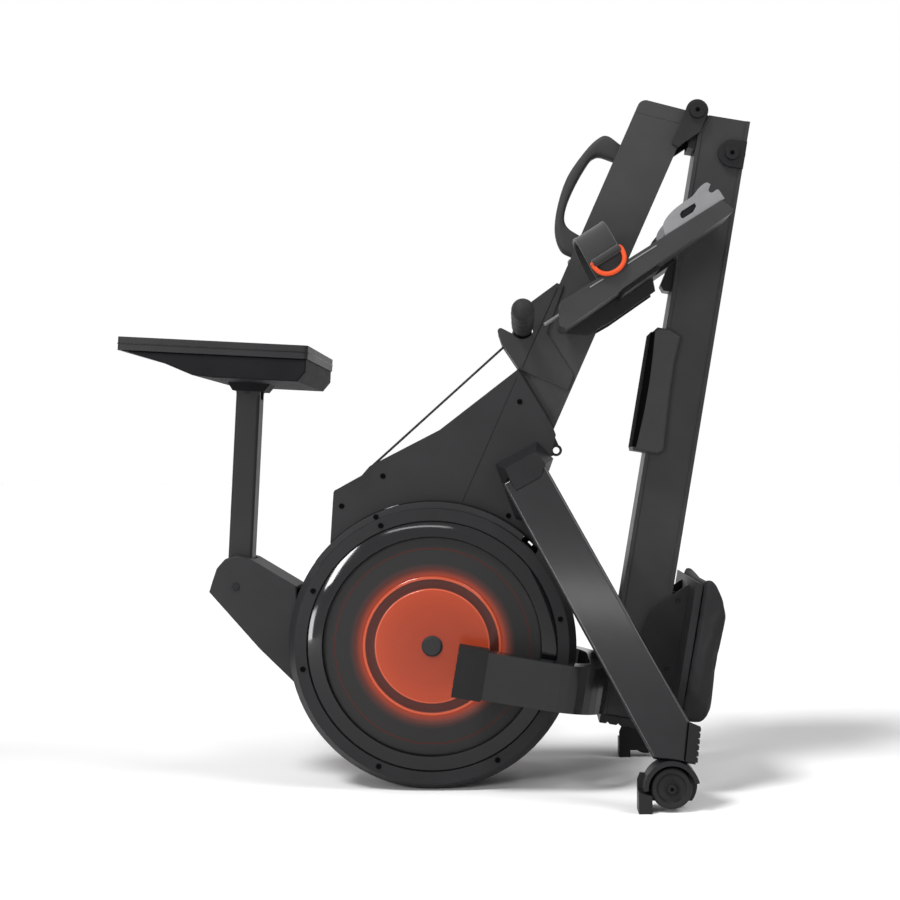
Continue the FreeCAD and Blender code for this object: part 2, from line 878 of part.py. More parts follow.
def build_flywheel():
    """Wheel frame heights: + to the near side. The flywheel turns on a fixed axle."""
    body = new_body("flywheel")
    hub = S.bearing_r + 8
    web = S.flywheel_width / 2 - 6
    middle = (flywheel_front + flywheel_back) / 2
    revolve(
        body,
        [
            (S.bearing_r, flywheel_front + 4),
            (hub, flywheel_front + 4),
            (hub, middle + web),
            (S.flywheel_r - 40, middle + web),
            (S.flywheel_r - 34, flywheel_front),
            (S.flywheel_r, flywheel_front),
            (S.flywheel_r, flywheel_back),
            (S.flywheel_r - 34, flywheel_back),
            (S.flywheel_r - 40, middle - web),
            (hub, middle - web),
            (hub, flywheel_back - 2),
            (S.pulley_r, flywheel_back - 2),
            (S.pulley_r, belt_back),
            (S.axle_r + 1, belt_back),
            (S.axle_r + 1, flywheel_back - 2),
            (S.bearing_r, flywheel_back),
        ],
    )
    on_axle(body, -1)
    bearing = new_body("flywheel_bearings")
    shoulder = S.axle_r + 4
    revolve(
        bearing,
        [
            (S.axle_r + S.run_gap, flywheel_back + 1),
            (shoulder, flywheel_back + 1),
            (shoulder, flywheel_back + 2),
            (S.bearing_r, flywheel_back + 2),
            (S.bearing_r, flywheel_front + 3),
            (shoulder, flywheel_front + 3),
            (shoulder, flywheel_front + 4),
            (S.axle_r + S.run_gap, flywheel_front + 4),
        ],
    )
    on_axle(bearing, -1)


plate_low = beam_half + S.fit_gap
plate_high = plate_low + S.plate_wall


def build_axles():
    """Fixed axles of the flywheel and of the reel, with shoulders inside the plates."""
    reach = plate_high + 8
    axle = cross_rod("flywheel_axle", S.axle_r, S.wheel_x, S.rim_r, -reach, reach, node=False)
    reel = cross_rod("reel_axle", S.reel_axle_r, S.reel_x, S.reel_z, -reach, reach, node=False)
    group("drive_axles", [axle, reel])


def build_axle_plates():
    """Two plates welded to the beam's sides; they carry both axles."""
    plates = []
    eye = 30
    outline = [
        (S.wheel_x - eye, S.rim_r - 8),
        (S.wheel_x, S.rim_r - eye),
        (S.wheel_x + eye, S.rim_r - 8),
        (S.leg_top_x + 2, S.leg_top_z - 70),
        (S.leg_top_x + 14, S.leg_top_z + 20),
        (S.reel_x + 112, S.reel_z + 48),
        (S.reel_x, S.reel_z + 24),
        (S.reel_x - 24, S.reel_z),
        (S.reel_x - 10, S.reel_z - 26),
    ]
    for name, low, high in (("near", -plate_high, -plate_low), ("far", plate_low, plate_high)):
        plate = new_body(f"axle_plate_{name}", node=False)
        add_band(plate, outline, low, high)
        cut_disc(plate, S.wheel_x, S.rim_r, S.axle_r, low - 1, high + 1)
        cut_disc(plate, S.reel_x, S.reel_z, S.reel_axle_r, low - 1, high + 1)
        cut_disc(plate, S.leg_top_x, S.leg_top_z, S.cross_tube_r + 0.05, low - 1, high + 1)
        round_corners(plate, [outline[0], outline[1], outline[2], outline[7]], 14)
        plates.append(plate)
    group("axle_plates", plates)


def build_reel():
    """The strap drum with its flanges, and the large pulley that drives the flywheel."""
    body = new_body("strap_reel")
    drum_half = S.tape_width / 2 + 2
    flange = S.reel_pulley_r - 2
    revolve(
        body,
        [
            (S.reel_axle_r + S.run_gap, drum_half + 3),
            (flange, drum_half + 3),
            (flange, drum_half),
            (S.reel_drum_r, drum_half),
            (S.reel_drum_r, -drum_half),
            (flange, -drum_half),
            (flange, belt_front + 1),
            (S.reel_pulley_r, belt_front),
            (S.reel_pulley_r, belt_back),
            (S.reel_axle_r + S.run_gap, belt_back),
        ],
    )
    place(body, S.reel_x, 0, S.reel_z, 90, axis=(1, 0, 0))


def build_belt():
    """A flat belt round the two pulleys: two arcs and their common tangents."""
    reel = Vector(number("reel_x"), 0, number("reel_z"))
    wheel = Vector(number("wheel_x"), 0, number("rim_r"))
    gap = number("fit_gap")
    line = reel - wheel
    along = Vector(line).normalize()
    across = Vector(-along.z, 0, along.x)

    def loop(extra):
        big = number("reel_pulley_r") + gap + extra
        small = number("pulley_r") + gap + extra
        lean = math.acos((big - small) / line.Length)
        spots = []
        for centre, radius in ((wheel, small), (reel, big)):
            for sign in (1, -1):
                out = across * (sign * math.sin(lean)) + along * math.cos(lean)
                spots.append(centre + out * radius)
        low_a, low_b, high_a, high_b = spots
        edges = [
            Part.Arc(low_b, wheel - along * small, low_a).toShape(),
            Part.LineSegment(low_a, high_a).toShape(),
            Part.Arc(high_a, reel + along * big, high_b).toShape(),
            Part.LineSegment(high_b, low_b).toShape(),
        ]
        return Part.Face(Part.Wire(edges))

    width = number("belt_width")
    ring = loop(number("belt_thickness")).cut(loop(0))
    belt = ring.extrude(Vector(0, width, 0))
    belt.translate(Vector(0, -belt_front + 1, 0))
    item = doc.addObject("Part::Feature", "drive_belt")
    item.Shape = belt
    keep("drive_belt", item)


def build_brake():
    """The magnet yoke that straddles the flywheel's rim, bolted between the axle plates."""
    body = new_body("magnet_brake")
    back = S.flywheel_r + 17
    front = S.flywheel_r + 5
    tip = S.flywheel_r - 25
    air = 4
    near_face = -(flywheel_front + air)
    far_face = -(flywheel_back - air)
    arm = 5
    outline = [
        (back, -plate_low),
        (back, plate_low),
        (front, plate_low),
        (front, far_face + arm),
        (tip, far_face + arm),
        (tip, far_face),
        (front - 2, far_face),
        (front - 2, near_face),
        (tip, near_face),
        (tip, near_face - arm),
        (front, near_face - arm),
        (front, -plate_low),
    ]
    sketch = new_sketch(body, "XY_Plane")
    draw_loop(sketch, outline)
    extrude(body, "Pad", sketch, 44, symmetric=True)
    bearing_angle = 59
    place(body, S.wheel_x, 0, S.rim_r, -bearing_angle)


# ---------------------------------------------------------------- drive cover


def cover_outline():
    """Side outline of the drive cover, clockwise from its lower left corner."""
    return [
        (S.exit_x - 60, S.rim_r + 150),
        (S.exit_x - 54, S.rim_r + 246),
        (S.exit_x - 9, S.exit_z - 13),
        (S.exit_x + 4, S.exit_z + 2),
        (S.wheel_x + 11, 574),
        (S.wheel_x + 136, 671),
        (S.wheel_x + 192, 579),
        (S.wheel_x + 197, 566),
        (S.wheel_x + 183, 505),
        (S.wheel_x + 163, S.rim_r + 165),
        (S.wheel_x, S.rim_r + 150),
    ]


def build_cover(name, side):
    """One half of the hollow cover over the beam's foot, the reel and the belt."""
    shell = new_body(f"cover_shell_{name}", node=False)
    outline = cover_outline()
    split = S.fit_gap / 2
    low, high = (-S.cover_half, -split) if side < 0 else (split, S.cover_half)
    add_band(shell, outline, low, high)
    round_corners(shell, [outline[1], outline[2], outline[4]], 6)
    inner = S.cover_half - S.cover_wall
    room_low, room_high = (-inner, split) if side < 0 else (-split, inner)
    cut_band(shell, inset(outline, S.cover_wall), room_low, room_high)
    wide = S.cover_half + 1
    under = cross_rod(f"cover_floor_{name}", S.rim_r + 0.6, S.wheel_x, S.rim_r, -wide, wide, node=False)
    mouth = new_body(f"cover_mouth_{name}", node=False)
    room = S.fit_gap
    mouth_outline = [
        (beam_low - 20, beam_near - room),
        (-440, beam_near - room),
        (-440, beam_far + room),
        (beam_low - 20, beam_far + room),
    ]
    mouth_half = beam_half + room
    add_band(mouth, mouth_outline, -mouth_half, mouth_half)
    on_beam(mouth)
    tube_r = S.cross_tube_r + S.fit_gap
    tube = cross_rod(f"cover_tube_{name}", tube_r, S.leg_top_x, S.leg_top_z, -wide, wide, node=False)
    slot = new_body(f"cover_slot_{name}", node=False)
    slot_outline = [
        (S.exit_x - 16, S.exit_z - 20),
        (S.exit_x + 14, S.exit_z - 20),
        (S.exit_x + 14, S.exit_z + 16),
        (S.exit_x - 16, S.exit_z + 8),
    ]
    add_band(slot, slot_outline, -slot_half, slot_half)
    lug = new_body(f"cover_lug_{name}", node=False)
    tab = [(-640, beam_near + 1), (-640, -36), (-550, -36), (-550, beam_near + 1)]
    add_band(lug, tab, -4 - S.fit_gap, 4 + S.fit_gap)
    on_beam(lug)
    subtract(f"drive_cover_{name}", shell, [under, mouth, tube, slot, lug])


slot_half = S.tape_width / 2 + 4
guide_r = 5
guide_x = S.exit_x
guide_z = S.exit_z - 9


def build_strap_guide():
    """The polished bar in the cover's mouth that the drive strap turns round."""
    reach = slot_half - S.fit_gap
    cross_rod("strap_guide", guide_r, guide_x, guide_z, -reach, reach)


def build_screws():
    """Pan-head screws that hold the covers, the same on both sides."""
    head_r, head_h = 4.2, 2
    screws = []
    rim_screw_r = (S.face_r + S.ring_outer_r) / 2
    for side in (-1, 1):
        for index, angle in enumerate((113, 155, 190, 246, 300, 12)):
            label = f"rim_screw_{index}_{'near' if side < 0 else 'far'}"
            x = S.wheel_x + rim_screw_r * cos(angle)
            z = S.rim_r + rim_screw_r * sin(angle)
            inner = S.face_half + 0.05
            screws.append(side_screw(label, head_r, x, z, inner, head_h, side))
        for index, (x, z) in enumerate(((139, 389), (-146, 222), (-80, 270))):
            label = f"cover_screw_{index}_{'near' if side < 0 else 'far'}"
            x, z = S.wheel_x + x, S.rim_r + z
            screws.append(side_screw(label, head_r, x, z, S.cover_half + 0.05, head_h, side))
    group("cover_screws", screws)


def side_screw(label, radius, x, z, inner, height, side):
    if side < 0:
        return cross_rod(label, radius, x, z, -inner - height, -inner, node=False)
    return cross_rod(label, radius, x, z, inner, inner + height, node=False)


# ---------------------------------------------------------------- front legs


def leg_length():
    """Axis length of a leg, from its top to its foot."""
    flat = (S.leg_foot_x - S.leg_top_x, S.leg_foot_y - S.leg_top_y, S.leg_top_z - S.leg_foot_z)
    return math.sqrt(sum(part.value**2 for part in flat))


LEG = leg_length()


def leg_section(points_half, low, high, label, side):
    body = new_body(label, node=False)
    add_band(body, points_half, low, high)
    return on_leg(body, side)


def build_leg(name, side):
    """A flat-sided tube; its end is cut for the wheel and for the foot pad."""
    body = new_body(f"front_leg_{name}")
    add_band(body, leg_outline(0), -S.leg_thickness / 2, S.leg_thickness / 2)
    soften(body, 5)
    wall = 3
    inner = S.leg_width / 2 - wall
    bore = [(-1, -inner), (-1, inner), (LEG - leg_toe - wall, inner), (LEG - leg_heel - wall, -inner)]
    cut_band(body, bore, wall - S.leg_thickness / 2, S.leg_thickness / 2 - wall)
    on_leg(body, side)


def leg_outline(grow):
    """A leg's outline in its own frame, widened by a gap on every side but its cut toe."""
    half = S.leg_width / 2 + grow
    return [
        (-grow, -half),
        (-grow, half),
        (LEG - leg_toe + grow, half),
        (LEG + leg_tip + grow, leg_tip_out),
        (LEG - leg_heel + grow, -half),
    ]


leg_toe = 22
leg_tip = 26
leg_tip_out = 3
leg_heel = 2


def build_foot_pads():
    """Ribbed rubber pads on the cut ends of the legs, which stand on the floor in use."""
    half = S.leg_width / 2
    pads = []
    for name, side in (("near", -1), ("far", 1)):
        pad = new_body(f"foot_pad_{name}", node=False)
        wide = S.leg_thickness / 2 + 2
        depth = 17
        start = (LEG - leg_toe + S.fit_gap, half)
        end = (LEG + leg_tip + S.fit_gap, as_size(leg_tip_out))
        length = math.hypot(end[0].value - start[0].value, end[1].value - start[1].value)
        dx = (end[0].value - start[0].value) / length
        dz = (end[1].value - start[1].value) / length
        teeth = 6
        points = [start]
        for tooth in range(teeth):
            for share, out in ((0.1, depth), (0.65, depth), (0.75, depth - 3), (1.0, depth - 3)):
                along = 4 + (length - 4) * (tooth + share) / teeth
                points.append((start[0].value + dx * along - dz * out, half.value + dz * along + dx * out))
        points.append(end)
        add_band(pad, points, -wide, wide)
        pads.append(on_leg(pad, side))
    group("foot_pads", pads)


def build_leg_sockets():
    """Tapered covers where the legs leave the drive cover, hollowed for the leg and its tube."""
    base = [(-45, 16), (22, 52), (48, 25), (41, 5), (6, -78), (-13, -71)]
    top = [(-29, 9), (19, 35), (35, 17), (29, 1), (8, -51), (-3, -45)]
    sockets = []
    for name, side in (("near", -1), ("far", 1)):
        body = new_body(f"socket_shell_{name}", node=False)
        root_y = S.cover_half + S.fit_gap
        crown_y = root_y + 40
        sketches = []
        for y, outline in ((root_y, base), (crown_y, top)):
            sketch = new_sketch(body, offset=-(side * y))
            draw_loop(sketch, [(S.leg_top_x + x, S.leg_top_z + z) for x, z in outline])
            sketches.append(sketch)
        loft = body.newObject("PartDesign::AdditiveLoft", f"{body.Name}_loft")
        loft.Profile = sketches[0]
        loft.Sections = [sketches[1]]
        loft.Ruled = True
        doc.recompute()
        edge = S.leg_width / 2 + 0.2
        leg = leg_section(
            [(-3, -edge), (-3, edge), (LEG, edge), (LEG, -edge)],
            -S.leg_thickness / 2 - 0.2,
            S.leg_thickness / 2 + 0.2,
            f"socket_leg_{name}",
            side,
        )
        tube_r = S.cross_tube_r + 0.2
        tube_x, tube_z = S.leg_top_x, S.leg_top_z
        tube = cross_rod(f"socket_tube_{name}", tube_r, tube_x, tube_z, -leg_inner, leg_inner, node=False)
        tool = doc.addObject("Part::MultiFuse", f"socket_tools_{name}")
        tool.Shapes = [leg, tube]
        cut = doc.addObject("Part::Cut", f"leg_socket_{name}")
        cut.Base = body
        cut.Tool = tool
        sockets.append(cut)
    group("leg_sockets", sockets)


leg_inner = S.leg_top_y + 8


def build_cross_tube():
    """The tube through the beam that both legs are welded to."""
    tube_x, tube_z = S.leg_top_x, S.leg_top_z
    tube = cross_rod("cross_tube_bar", S.cross_tube_r, tube_x, tube_z, -leg_inner, leg_inner, node=False)
    legs = []
    for name, side in (("near", -1), ("far", 1)):
        half = S.leg_width / 2
        tool = leg_section(
            [(0, -half), (0, half), (LEG, half), (LEG, -half)],
            -S.leg_thickness / 2 - 0.05,
            S.leg_thickness / 2 + 0.05,
            f"cross_tube_end_{name}",
            side,
        )
        legs.append(tool)
    subtract("leg_cross_tube", tube, legs)


wheel_x = S.leg_foot_x - 6.5
wheel_z = S.wheel_r + S.wheel_lift


def build_wheel_bracket():
    """Mudguard, wheel carrier and stored foot block at the bottom of each leg."""
    brackets = []
    guard_in = S.wheel_r + 4
    guard_out = guard_in + 7
    half = S.wheel_width / 2 + 7
    cheek = 4
    for name, side in (("near", -1), ("far", 1)):
        body = new_body(f"guard_{name}", node=False)
        mid = side * S.leg_foot_y
        # the guard is a ring from just above the foot block, over the wheel, to its tail
        add_disc(body, 0, 0, guard_out, mid - half, mid + half)
        cut_disc(body, 0, 0, guard_in, mid - half - 1, mid + half + 1)
        below = [(-60, -60), (-60, -4), (0, 0), (60, 14), (60, -60)]
        cut_band(body, below, mid - half - 1, mid + half + 1)
        if side < 0:
            inner_low, inner_high = mid + half - cheek, mid + half
        else:
            inner_low, inner_high = mid - half, mid - half + cheek
        add_disc(body, 0, 0, guard_out - 1, inner_low, inner_high)
        clear = [(-60, -60), (60, -60), (60, -24), (-60, -24)]
        cut_band(body, clear, inner_low - 1, inner_high + 1)
        block_high = 45
        block_left = S.foot_block_x - wheel_x - S.foot_block_length / 2
        block_right = block_left + S.foot_block_length
        block = [
            (block_left, -wheel_z),
            (block_right, -wheel_z),
            (block_right, block_high - wheel_z - 18),
            (block_right + 8, block_high - wheel_z - 6),
            (block_right + 8, block_high - wheel_z + 8),
            (block_left + 4, block_high - wheel_z + 10),
            (block_left, block_high - wheel_z),
        ]
        add_band(body, block, inner_low, inner_high)
        foot = [
            (block_left, -wheel_z),
            (block_right, -wheel_z),
            (block_right, -wheel_z + 26),
            (block_left, -wheel_z + 32),
        ]
        add_band(body, foot, mid - half, mid + half)
        cut_disc(body, 0, 0, S.bolt_r, mid - half - 1, mid + half + 1)
        place(body, wheel_x, 0, wheel_z)
        room_half = S.leg_thickness / 2 + 0.2
        room = leg_section(leg_outline(0.2), -room_half, room_half, f"guard_leg_{name}", side)
        cut = doc.addObject("Part::Cut", f"wheel_bracket_{name}")
        cut.Base = body
        cut.Tool = room
        brackets.append(cut)
    group("wheel_brackets", brackets)


def build_wheels():
    """Rubber-tyred transport wheels, free to turn on their bolts."""
    bolts = []
    half = S.wheel_width / 2
    for name, side in (("near", -1), ("far", 1)):
        wheel = new_body(f"wheel_{name}")
        tread = S.wheel_r
        revolve(
            wheel,
            [
                (S.bolt_r + S.run_gap, -half - 1),
                (S.bolt_r + 5, -half - 1),
                (S.bolt_r + 6, -half + 4),
                (tread - 11, -half + 4),
                (tread - 8, -half),
                (tread - 2, -half),
                (tread, -half + 3),
                (tread, half - 3),
                (tread - 2, half),
                (tread - 8, half),
                (tread - 11, half - 4),
                (S.bolt_r + 6, half - 4),
                (S.bolt_r + 5, half + 1),
                (S.bolt_r + S.run_gap, half + 1),
            ],
        )
        place(wheel, wheel_x, side * S.leg_foot_y, wheel_z, 90, axis=(1, 0, 0))
        bolt = new_body(f"wheel_bolt_{name}", node=False)
        guard_half = S.wheel_width / 2 + 7
        revolve(
            bolt,
            [
                (0, -guard_half - 4),
                (S.bolt_r + 4, -guard_half - 4),
                (S.bolt_r + 4, -guard_half),
                (S.bolt_r, -guard_half),
                (S.bolt_r, half + 1.3),
                (S.bolt_r + 4, half + 1.3),
                (S.bolt_r + 2, half + 5),
                (0, half + 5),
            ],
        )
        place(bolt, wheel_x, side * S.leg_foot_y, wheel_z, -90 * side, axis=(1, 0, 0))
        bolts.append(bolt)
    group("wheel_bolts", bolts)


# ---------------------------------------------------------------- footplates


slide_top = -12
slide_low = -19


def build_footplate(name, side):
    """A wedge-shaped plate with a channel for the heel cup's slide."""
    body = new_body(f"footplate_{name}")
    low, high = (-S.pedal_outer, -S.pedal_inner) if side < 0 else (S.pedal_inner, S.pedal_outer)
    outline = [
        (0, 0),
        (S.pedal_length, 0),
        (S.pedal_length + 8, -21),
        (S.pedal_length + 4, under_heel),
        (-14, under_toe),
        (-20, -30),
    ]
    add_band(body, outline, low, high)
    round_corners(body, [outline[0], outline[4], outline[5]], 5)
    channel = [
        (-40, slide_low - S.fit_gap),
        (-40, slide_top + S.fit_gap),
        (S.pedal_length - 6, slide_top + S.fit_gap),
        (S.pedal_length - 6, slide_low - S.fit_gap),
    ]
    middle = side * (S.pedal_inner + S.pedal_outer) / 2
    cut_band(body, channel, middle - tongue_half - S.fit_gap, middle + tongue_half + S.fit_gap)
    neck_low = S.pedal_length - S.heel_travel - neck_length - 14
    neck = [
        (neck_low, slide_top),
        (S.pedal_length - 6, slide_top),
        (S.pedal_length - 6, 4),
        (neck_low, 4),
    ]
    cut_band(body, neck, middle - neck_half - S.fit_gap, middle + neck_half + S.fit_gap)
    on_pedal(body)


tongue_half = 42
neck_half = 30
neck_length = 60


def build_heel_cup(name, side):
    """The sliding heel rest: a curved wall on a base, a neck through the plate and a tongue."""
    body = new_body(f"heel_cup_{name}")
    middle = side * (S.pedal_inner + S.pedal_outer) / 2
    end = S.pedal_length - 8
    tongue = [(-36, slide_low), (-36, slide_top), (end, slide_top), (end, slide_low)]
    add_band(body, tongue, middle - tongue_half, middle + tongue_half)
    neck = [(end - neck_length, slide_top - 1), (end, slide_top - 1), (end, 2), (end - neck_length, 2)]
    add_band(body, neck, middle - neck_half, middle + neck_half)
    base_top = 4
    base = [(182, S.fit_gap), (S.pedal_length, S.fit_gap), (S.pedal_length, base_top), (186, base_top)]
    cup_half = S.pedal_outer / 2 - S.pedal_inner / 2 - 2
    add_band(body, base, middle - cup_half, middle + cup_half)
    wall = 5
    cheek = [
        (184, base_top - 1),
        (204, 16),
        (224, 25),
        (264, 26),
        (272, 31),
        (S.pedal_length, 34),
        (S.pedal_length, base_top - 1),
    ]
    for low, high in ((middle - cup_half, middle - cup_half + wall), (middle + cup_half - wall, middle + cup_half)):
        add_band(body, cheek, low, high)
    back = [
        (S.pedal_length - 12, base_top - 1),
        (S.pedal_length - 7, 33),
        (S.pedal_length, 34),
        (S.pedal_length, base_top - 1),
    ]
    add_band(body, back, middle - cup_half, middle + cup_half)
    on_pedal(body)


def build_foot_straps():
    """Webbing arches over the footplates, and the rings that tighten them."""
    straps, rings = [], []
    start = 68
    for name, side in (("near", -1), ("far", 1)):
        strap = new_body(f"strap_{name}", node=False)
        middle = side * (S.pedal_inner + S.pedal_outer) / 2
        reach = (S.pedal_outer - S.pedal_inner) / 2 - 4
        sketch = new_sketch(strap, "YZ_Plane", offset=start)
        top = S.strap_height
        foot = S.fit_gap
        outside = [
            (middle - reach, foot),
            (middle - reach, top * 0.55),
            (middle - reach * 0.55, top),
            (middle + reach * 0.55, top),
            (middle + reach, top * 0.55),
            (middle + reach, foot),
            (middle + reach - S.strap_thickness, foot),
            (middle + reach - S.strap_thickness, top * 0.55 - 1),
            (middle + reach * 0.55 - 1, top - S.strap_thickness),
            (middle - reach * 0.55 + 1, top - S.strap_thickness),
            (middle - reach + S.strap_thickness, top * 0.55 - 1),
            (middle - reach + S.strap_thickness, foot),
        ]
        draw_loop(sketch, outside)
        extrude(strap, "Pad", sketch, S.strap_width)
        straps.append(on_pedal(strap))

        # the ring hangs on the outer side of the strap, just above the tread
        ring = new_body(f"strap_ring_{name}", node=False)
        outer_y = middle + side * (reach + S.fit_gap)
        ring_r = 3.5
        ring_low = 9
        loop = [
            (start - 2, ring_low + 2 * ring_r + 4),
            (start - 2, ring_low + 2 * ring_r),
            (start + 8, ring_low),
            (start + S.strap_width - 2, ring_low),
            (start + S.strap_width + 8, ring_low + 2 * ring_r),
            (start + S.strap_width + 8, ring_low + 2 * ring_r + 4),
        ]
        low, high = (outer_y - 2 * ring_r, outer_y) if side < 0 else (outer_y, outer_y + 2 * ring_r)
        add_band(ring, loop, low, high)
        rings.append(on_pedal(ring))
    group("foot_straps", straps)
    group("strap_rings", rings)


# ---------------------------------------------------------------- rowing handle and strap


def from_beam(along, out):
    """World X and Z of a point given in the beam frame."""
    lean = S.beam_lean
    return (
        S.hinge_x + cos(lean) * along - sin(lean) * out,
        S.hinge_z + sin(lean) * along + cos(lean) * out,
    )


handle_x, handle_z = from_beam(S.cradle_along, S.cradle_out)


def build_handle():
    grip_length = 150
    bar = new_body("handle_bar")
    yoke_half = S.tape_width / 2 + 10
    revolve(
        bar,
        [
            (0, -S.handle_half + 8),
            (S.handle_bar_r, -S.handle_half + 8),
            (S.handle_bar_r, -yoke_half),
            (S.handle_bar_r + 4, -yoke_half),
            (S.handle_bar_r + 4, yoke_half),
            (S.handle_bar_r, yoke_half),
            (S.handle_bar_r, S.handle_half - 8),
            (0, S.handle_half - 8),
        ],
    )
    place(bar, handle_x, 0, handle_z, 90, axis=(1, 0, 0))
    grips = []
    for name, side in (("near", -1), ("far", 1)):
        grip = new_body(f"handle_grip_{name}", node=False)
        inner = S.handle_half - grip_length
        revolve(
            grip,
            [
                (S.handle_bar_r + 0.05, inner),
                (S.handle_r - 2, inner),
                (S.handle_r, inner + 4),
                (S.handle_r, S.handle_half - 8),
                (S.handle_r - 7, S.handle_half),
                (0, S.handle_half),
                (0, S.handle_half - 7.9),
                (S.handle_bar_r + 0.05, S.handle_half - 7.9),
            ],
        )
        grips.append(place(grip, handle_x, 0, handle_z, -90 * side, axis=(1, 0, 0)))
    group("handle_grips", grips)


def build_drive_strap():
    """The flat strap: off the drum, round the guide bar and up to the handle's yoke."""
    gap = number("fit_gap")
    thickness = number("tape_thickness")
    width = number("tape_width")
    guide = Vector(guide_x.value, 0, guide_z.value)
    drum = Vector(number("reel_x"), 0, number("reel_z"))
    yoke = Vector(handle_x.value, 0, handle_z.value)
    bend_r = guide_r + gap
    drum_r = number("reel_drum_r") + gap
    yoke_r = number("handle_bar_r") + 4 + gap

    def leg_of(start, run, inner_side, length):
        """A straight stretch of strap from a tangent point; inner_side faces the bar."""
        outward = Vector(inner_side) * -thickness
        corners = [start, start + run * length, start + run * length + outward, start + outward]
        return Part.Face(Part.makePolygon(corners + [start]))

    up = yoke - guide
    up_length = math.sqrt(up.Length**2 - bend_r**2) - yoke_r
    lean = math.atan2(up.z, up.x) - math.asin((bend_r + thickness / 2) / up.Length)
    up_run = Vector(math.cos(lean), 0, math.sin(lean))
    up_inner = Vector(math.sin(lean), 0, -math.cos(lean))
    back = drum - guide
    slope = math.atan2(back.z, back.x) + math.asin((bend_r - drum_r) / back.Length)
    back_run = Vector(math.cos(slope), 0, math.sin(slope))
    back_inner = Vector(-math.sin(slope), 0, math.cos(slope))
    outer = bend_r + thickness
    up_leg = leg_of(guide - up_inner * bend_r, up_run, up_inner, up_length)
    back_leg = leg_of(guide - back_inner * bend_r, back_run, back_inner, back.Length)
    middle = Vector(up_inner + back_inner).normalize()
    arc = Part.Arc(guide - up_inner * outer, guide - middle * outer, guide - back_inner * outer).toShape()
    inside = Part.Arc(guide - back_inner * bend_r, guide - middle * bend_r, guide - up_inner * bend_r).toShape()
    ends = [
        Part.LineSegment(guide - back_inner * outer, guide - back_inner * bend_r).toShape(),
        Part.LineSegment(guide - up_inner * bend_r, guide - up_inner * outer).toShape(),
    ]
    turn = Part.Face(Part.Wire([arc, ends[0], inside, ends[1]]))
    flat = up_leg.fuse([turn, back_leg]).removeSplitter()
    strap = flat.extrude(Vector(0, width, 0))
    strap.translate(Vector(0, -width / 2, 0))
    item = doc.addObject("Part::Feature", "drive_strap")
    item.Shape = strap
    keep("drive_strap", item)


# ---------------------------------------------------------------- console, post and arm


def build_arm():
    """Two side plates and a filler strip that stand forward of the flywheel housing."""
    body = new_body("console_arm")
    r = S.arm_radius
    root_x = S.wheel_x - S.rim_r + 10
    outline = [
        (root_x, 322),
        (S.post_x + 24, S.post_z + r + 1),
        (S.post_x + 4, S.post_z + r + 7),
        (S.post_x - 17, S.post_z + r + 2),
        (S.post_x - 31, S.post_z + 29),
        (S.post_x - 38, S.post_z + 8),
        (S.post_x - r, S.post_z - 9),
        (S.post_x + 38, 222),
        (root_x + 8, 156),
    ]
    add_band(body, outline, -S.arm_half, S.arm_half)
    round_corners(body, outline[1:5], 14)
    soften(body, 3)
    pocket_half = S.post_depth / 2 + 0.5
    well = [
        (S.post_x - 60, S.post_z + 100),
        (S.post_x - 60, S.post_z + 8),
        (S.post_x - 24, S.post_z - 24),
        (S.post_x + 24, S.post_z - 24),
        (S.post_x + 27, S.post_z + 100),
    ]
    cut_band(body, well, -pocket_half, pocket_half)
    cut_disc(body, S.post_x, S.post_z, S.pin_r, -S.arm_half - 1, S.arm_half + 1)
    # hollow towards the housing, between the two side plates
    wall = 5
    hollow = [
        (root_x + 20, 309),
        (S.post_x + 45, 342),
        (S.post_x + 45, 222),
        (root_x + 20, 176),
    ]
    cut_band(body, hollow, wall - S.arm_half, S.arm_half - wall)
    round_room = new_body("arm_room", node=False)
    add_disc(round_room, S.wheel_x, S.rim_r, S.rim_r + S.fit_gap, -S.arm_half - 1, S.arm_half + 1)
    NODES.pop("console_arm")
    body.Label = "arm_block"
    subtract("console_arm", body, [round_room])





def build_post():
    """The upright, round at both ends and forked at the top for the console's lug."""
    body = new_body("console_post")
    half = S.post_width / 2
    depth = S.post_depth / 2
    outline = [
        (-half, 0),
        (-half, S.post_length),
        (half, S.post_length),
        (half, 0),
    ]
    add_band(body, outline, -depth, depth)
    corners = [(-half, -depth), (half, -depth), (-half, depth), (half, depth)]
    fillet_edges(body, edges_at(body.Tip.Shape, corners, "z"), 5)
    add_disc(body, 0, 0, half, -depth, depth)
    add_disc(body, 0, S.post_length, half, -depth, depth)
    fork_floor = S.post_length - S.lug_r - 2
    fork_top = S.post_length + half + 1
    fork = [(-half - 1, fork_floor), (-half - 1, fork_top), (half + 1, fork_top), (half + 1, fork_floor)]
    cut_band(body, fork, -S.lug_half - 0.3, S.lug_half + 0.3)
    cut_disc(body, 0, 0, S.pin_r + S.run_gap, -depth - 1, depth + 1)
    cut_disc(body, 0, S.post_length, S.pin_r + 0.02, -depth - 1, depth + 1)
    place(body, S.post_x, 0, S.post_z, S.post_lean)
    cross_rod("post_pin", S.pin_r, S.post_x, S.post_z, -S.arm_half - 2, S.arm_half + 2)
    cross_rod("tilt_pin", S.pin_r, tilt_x, tilt_z, -depth, depth)


tilt_x = S.post_x + S.post_length * sin(S.post_lean)
tilt_z = S.post_z + S.post_length * cos(S.post_lean)


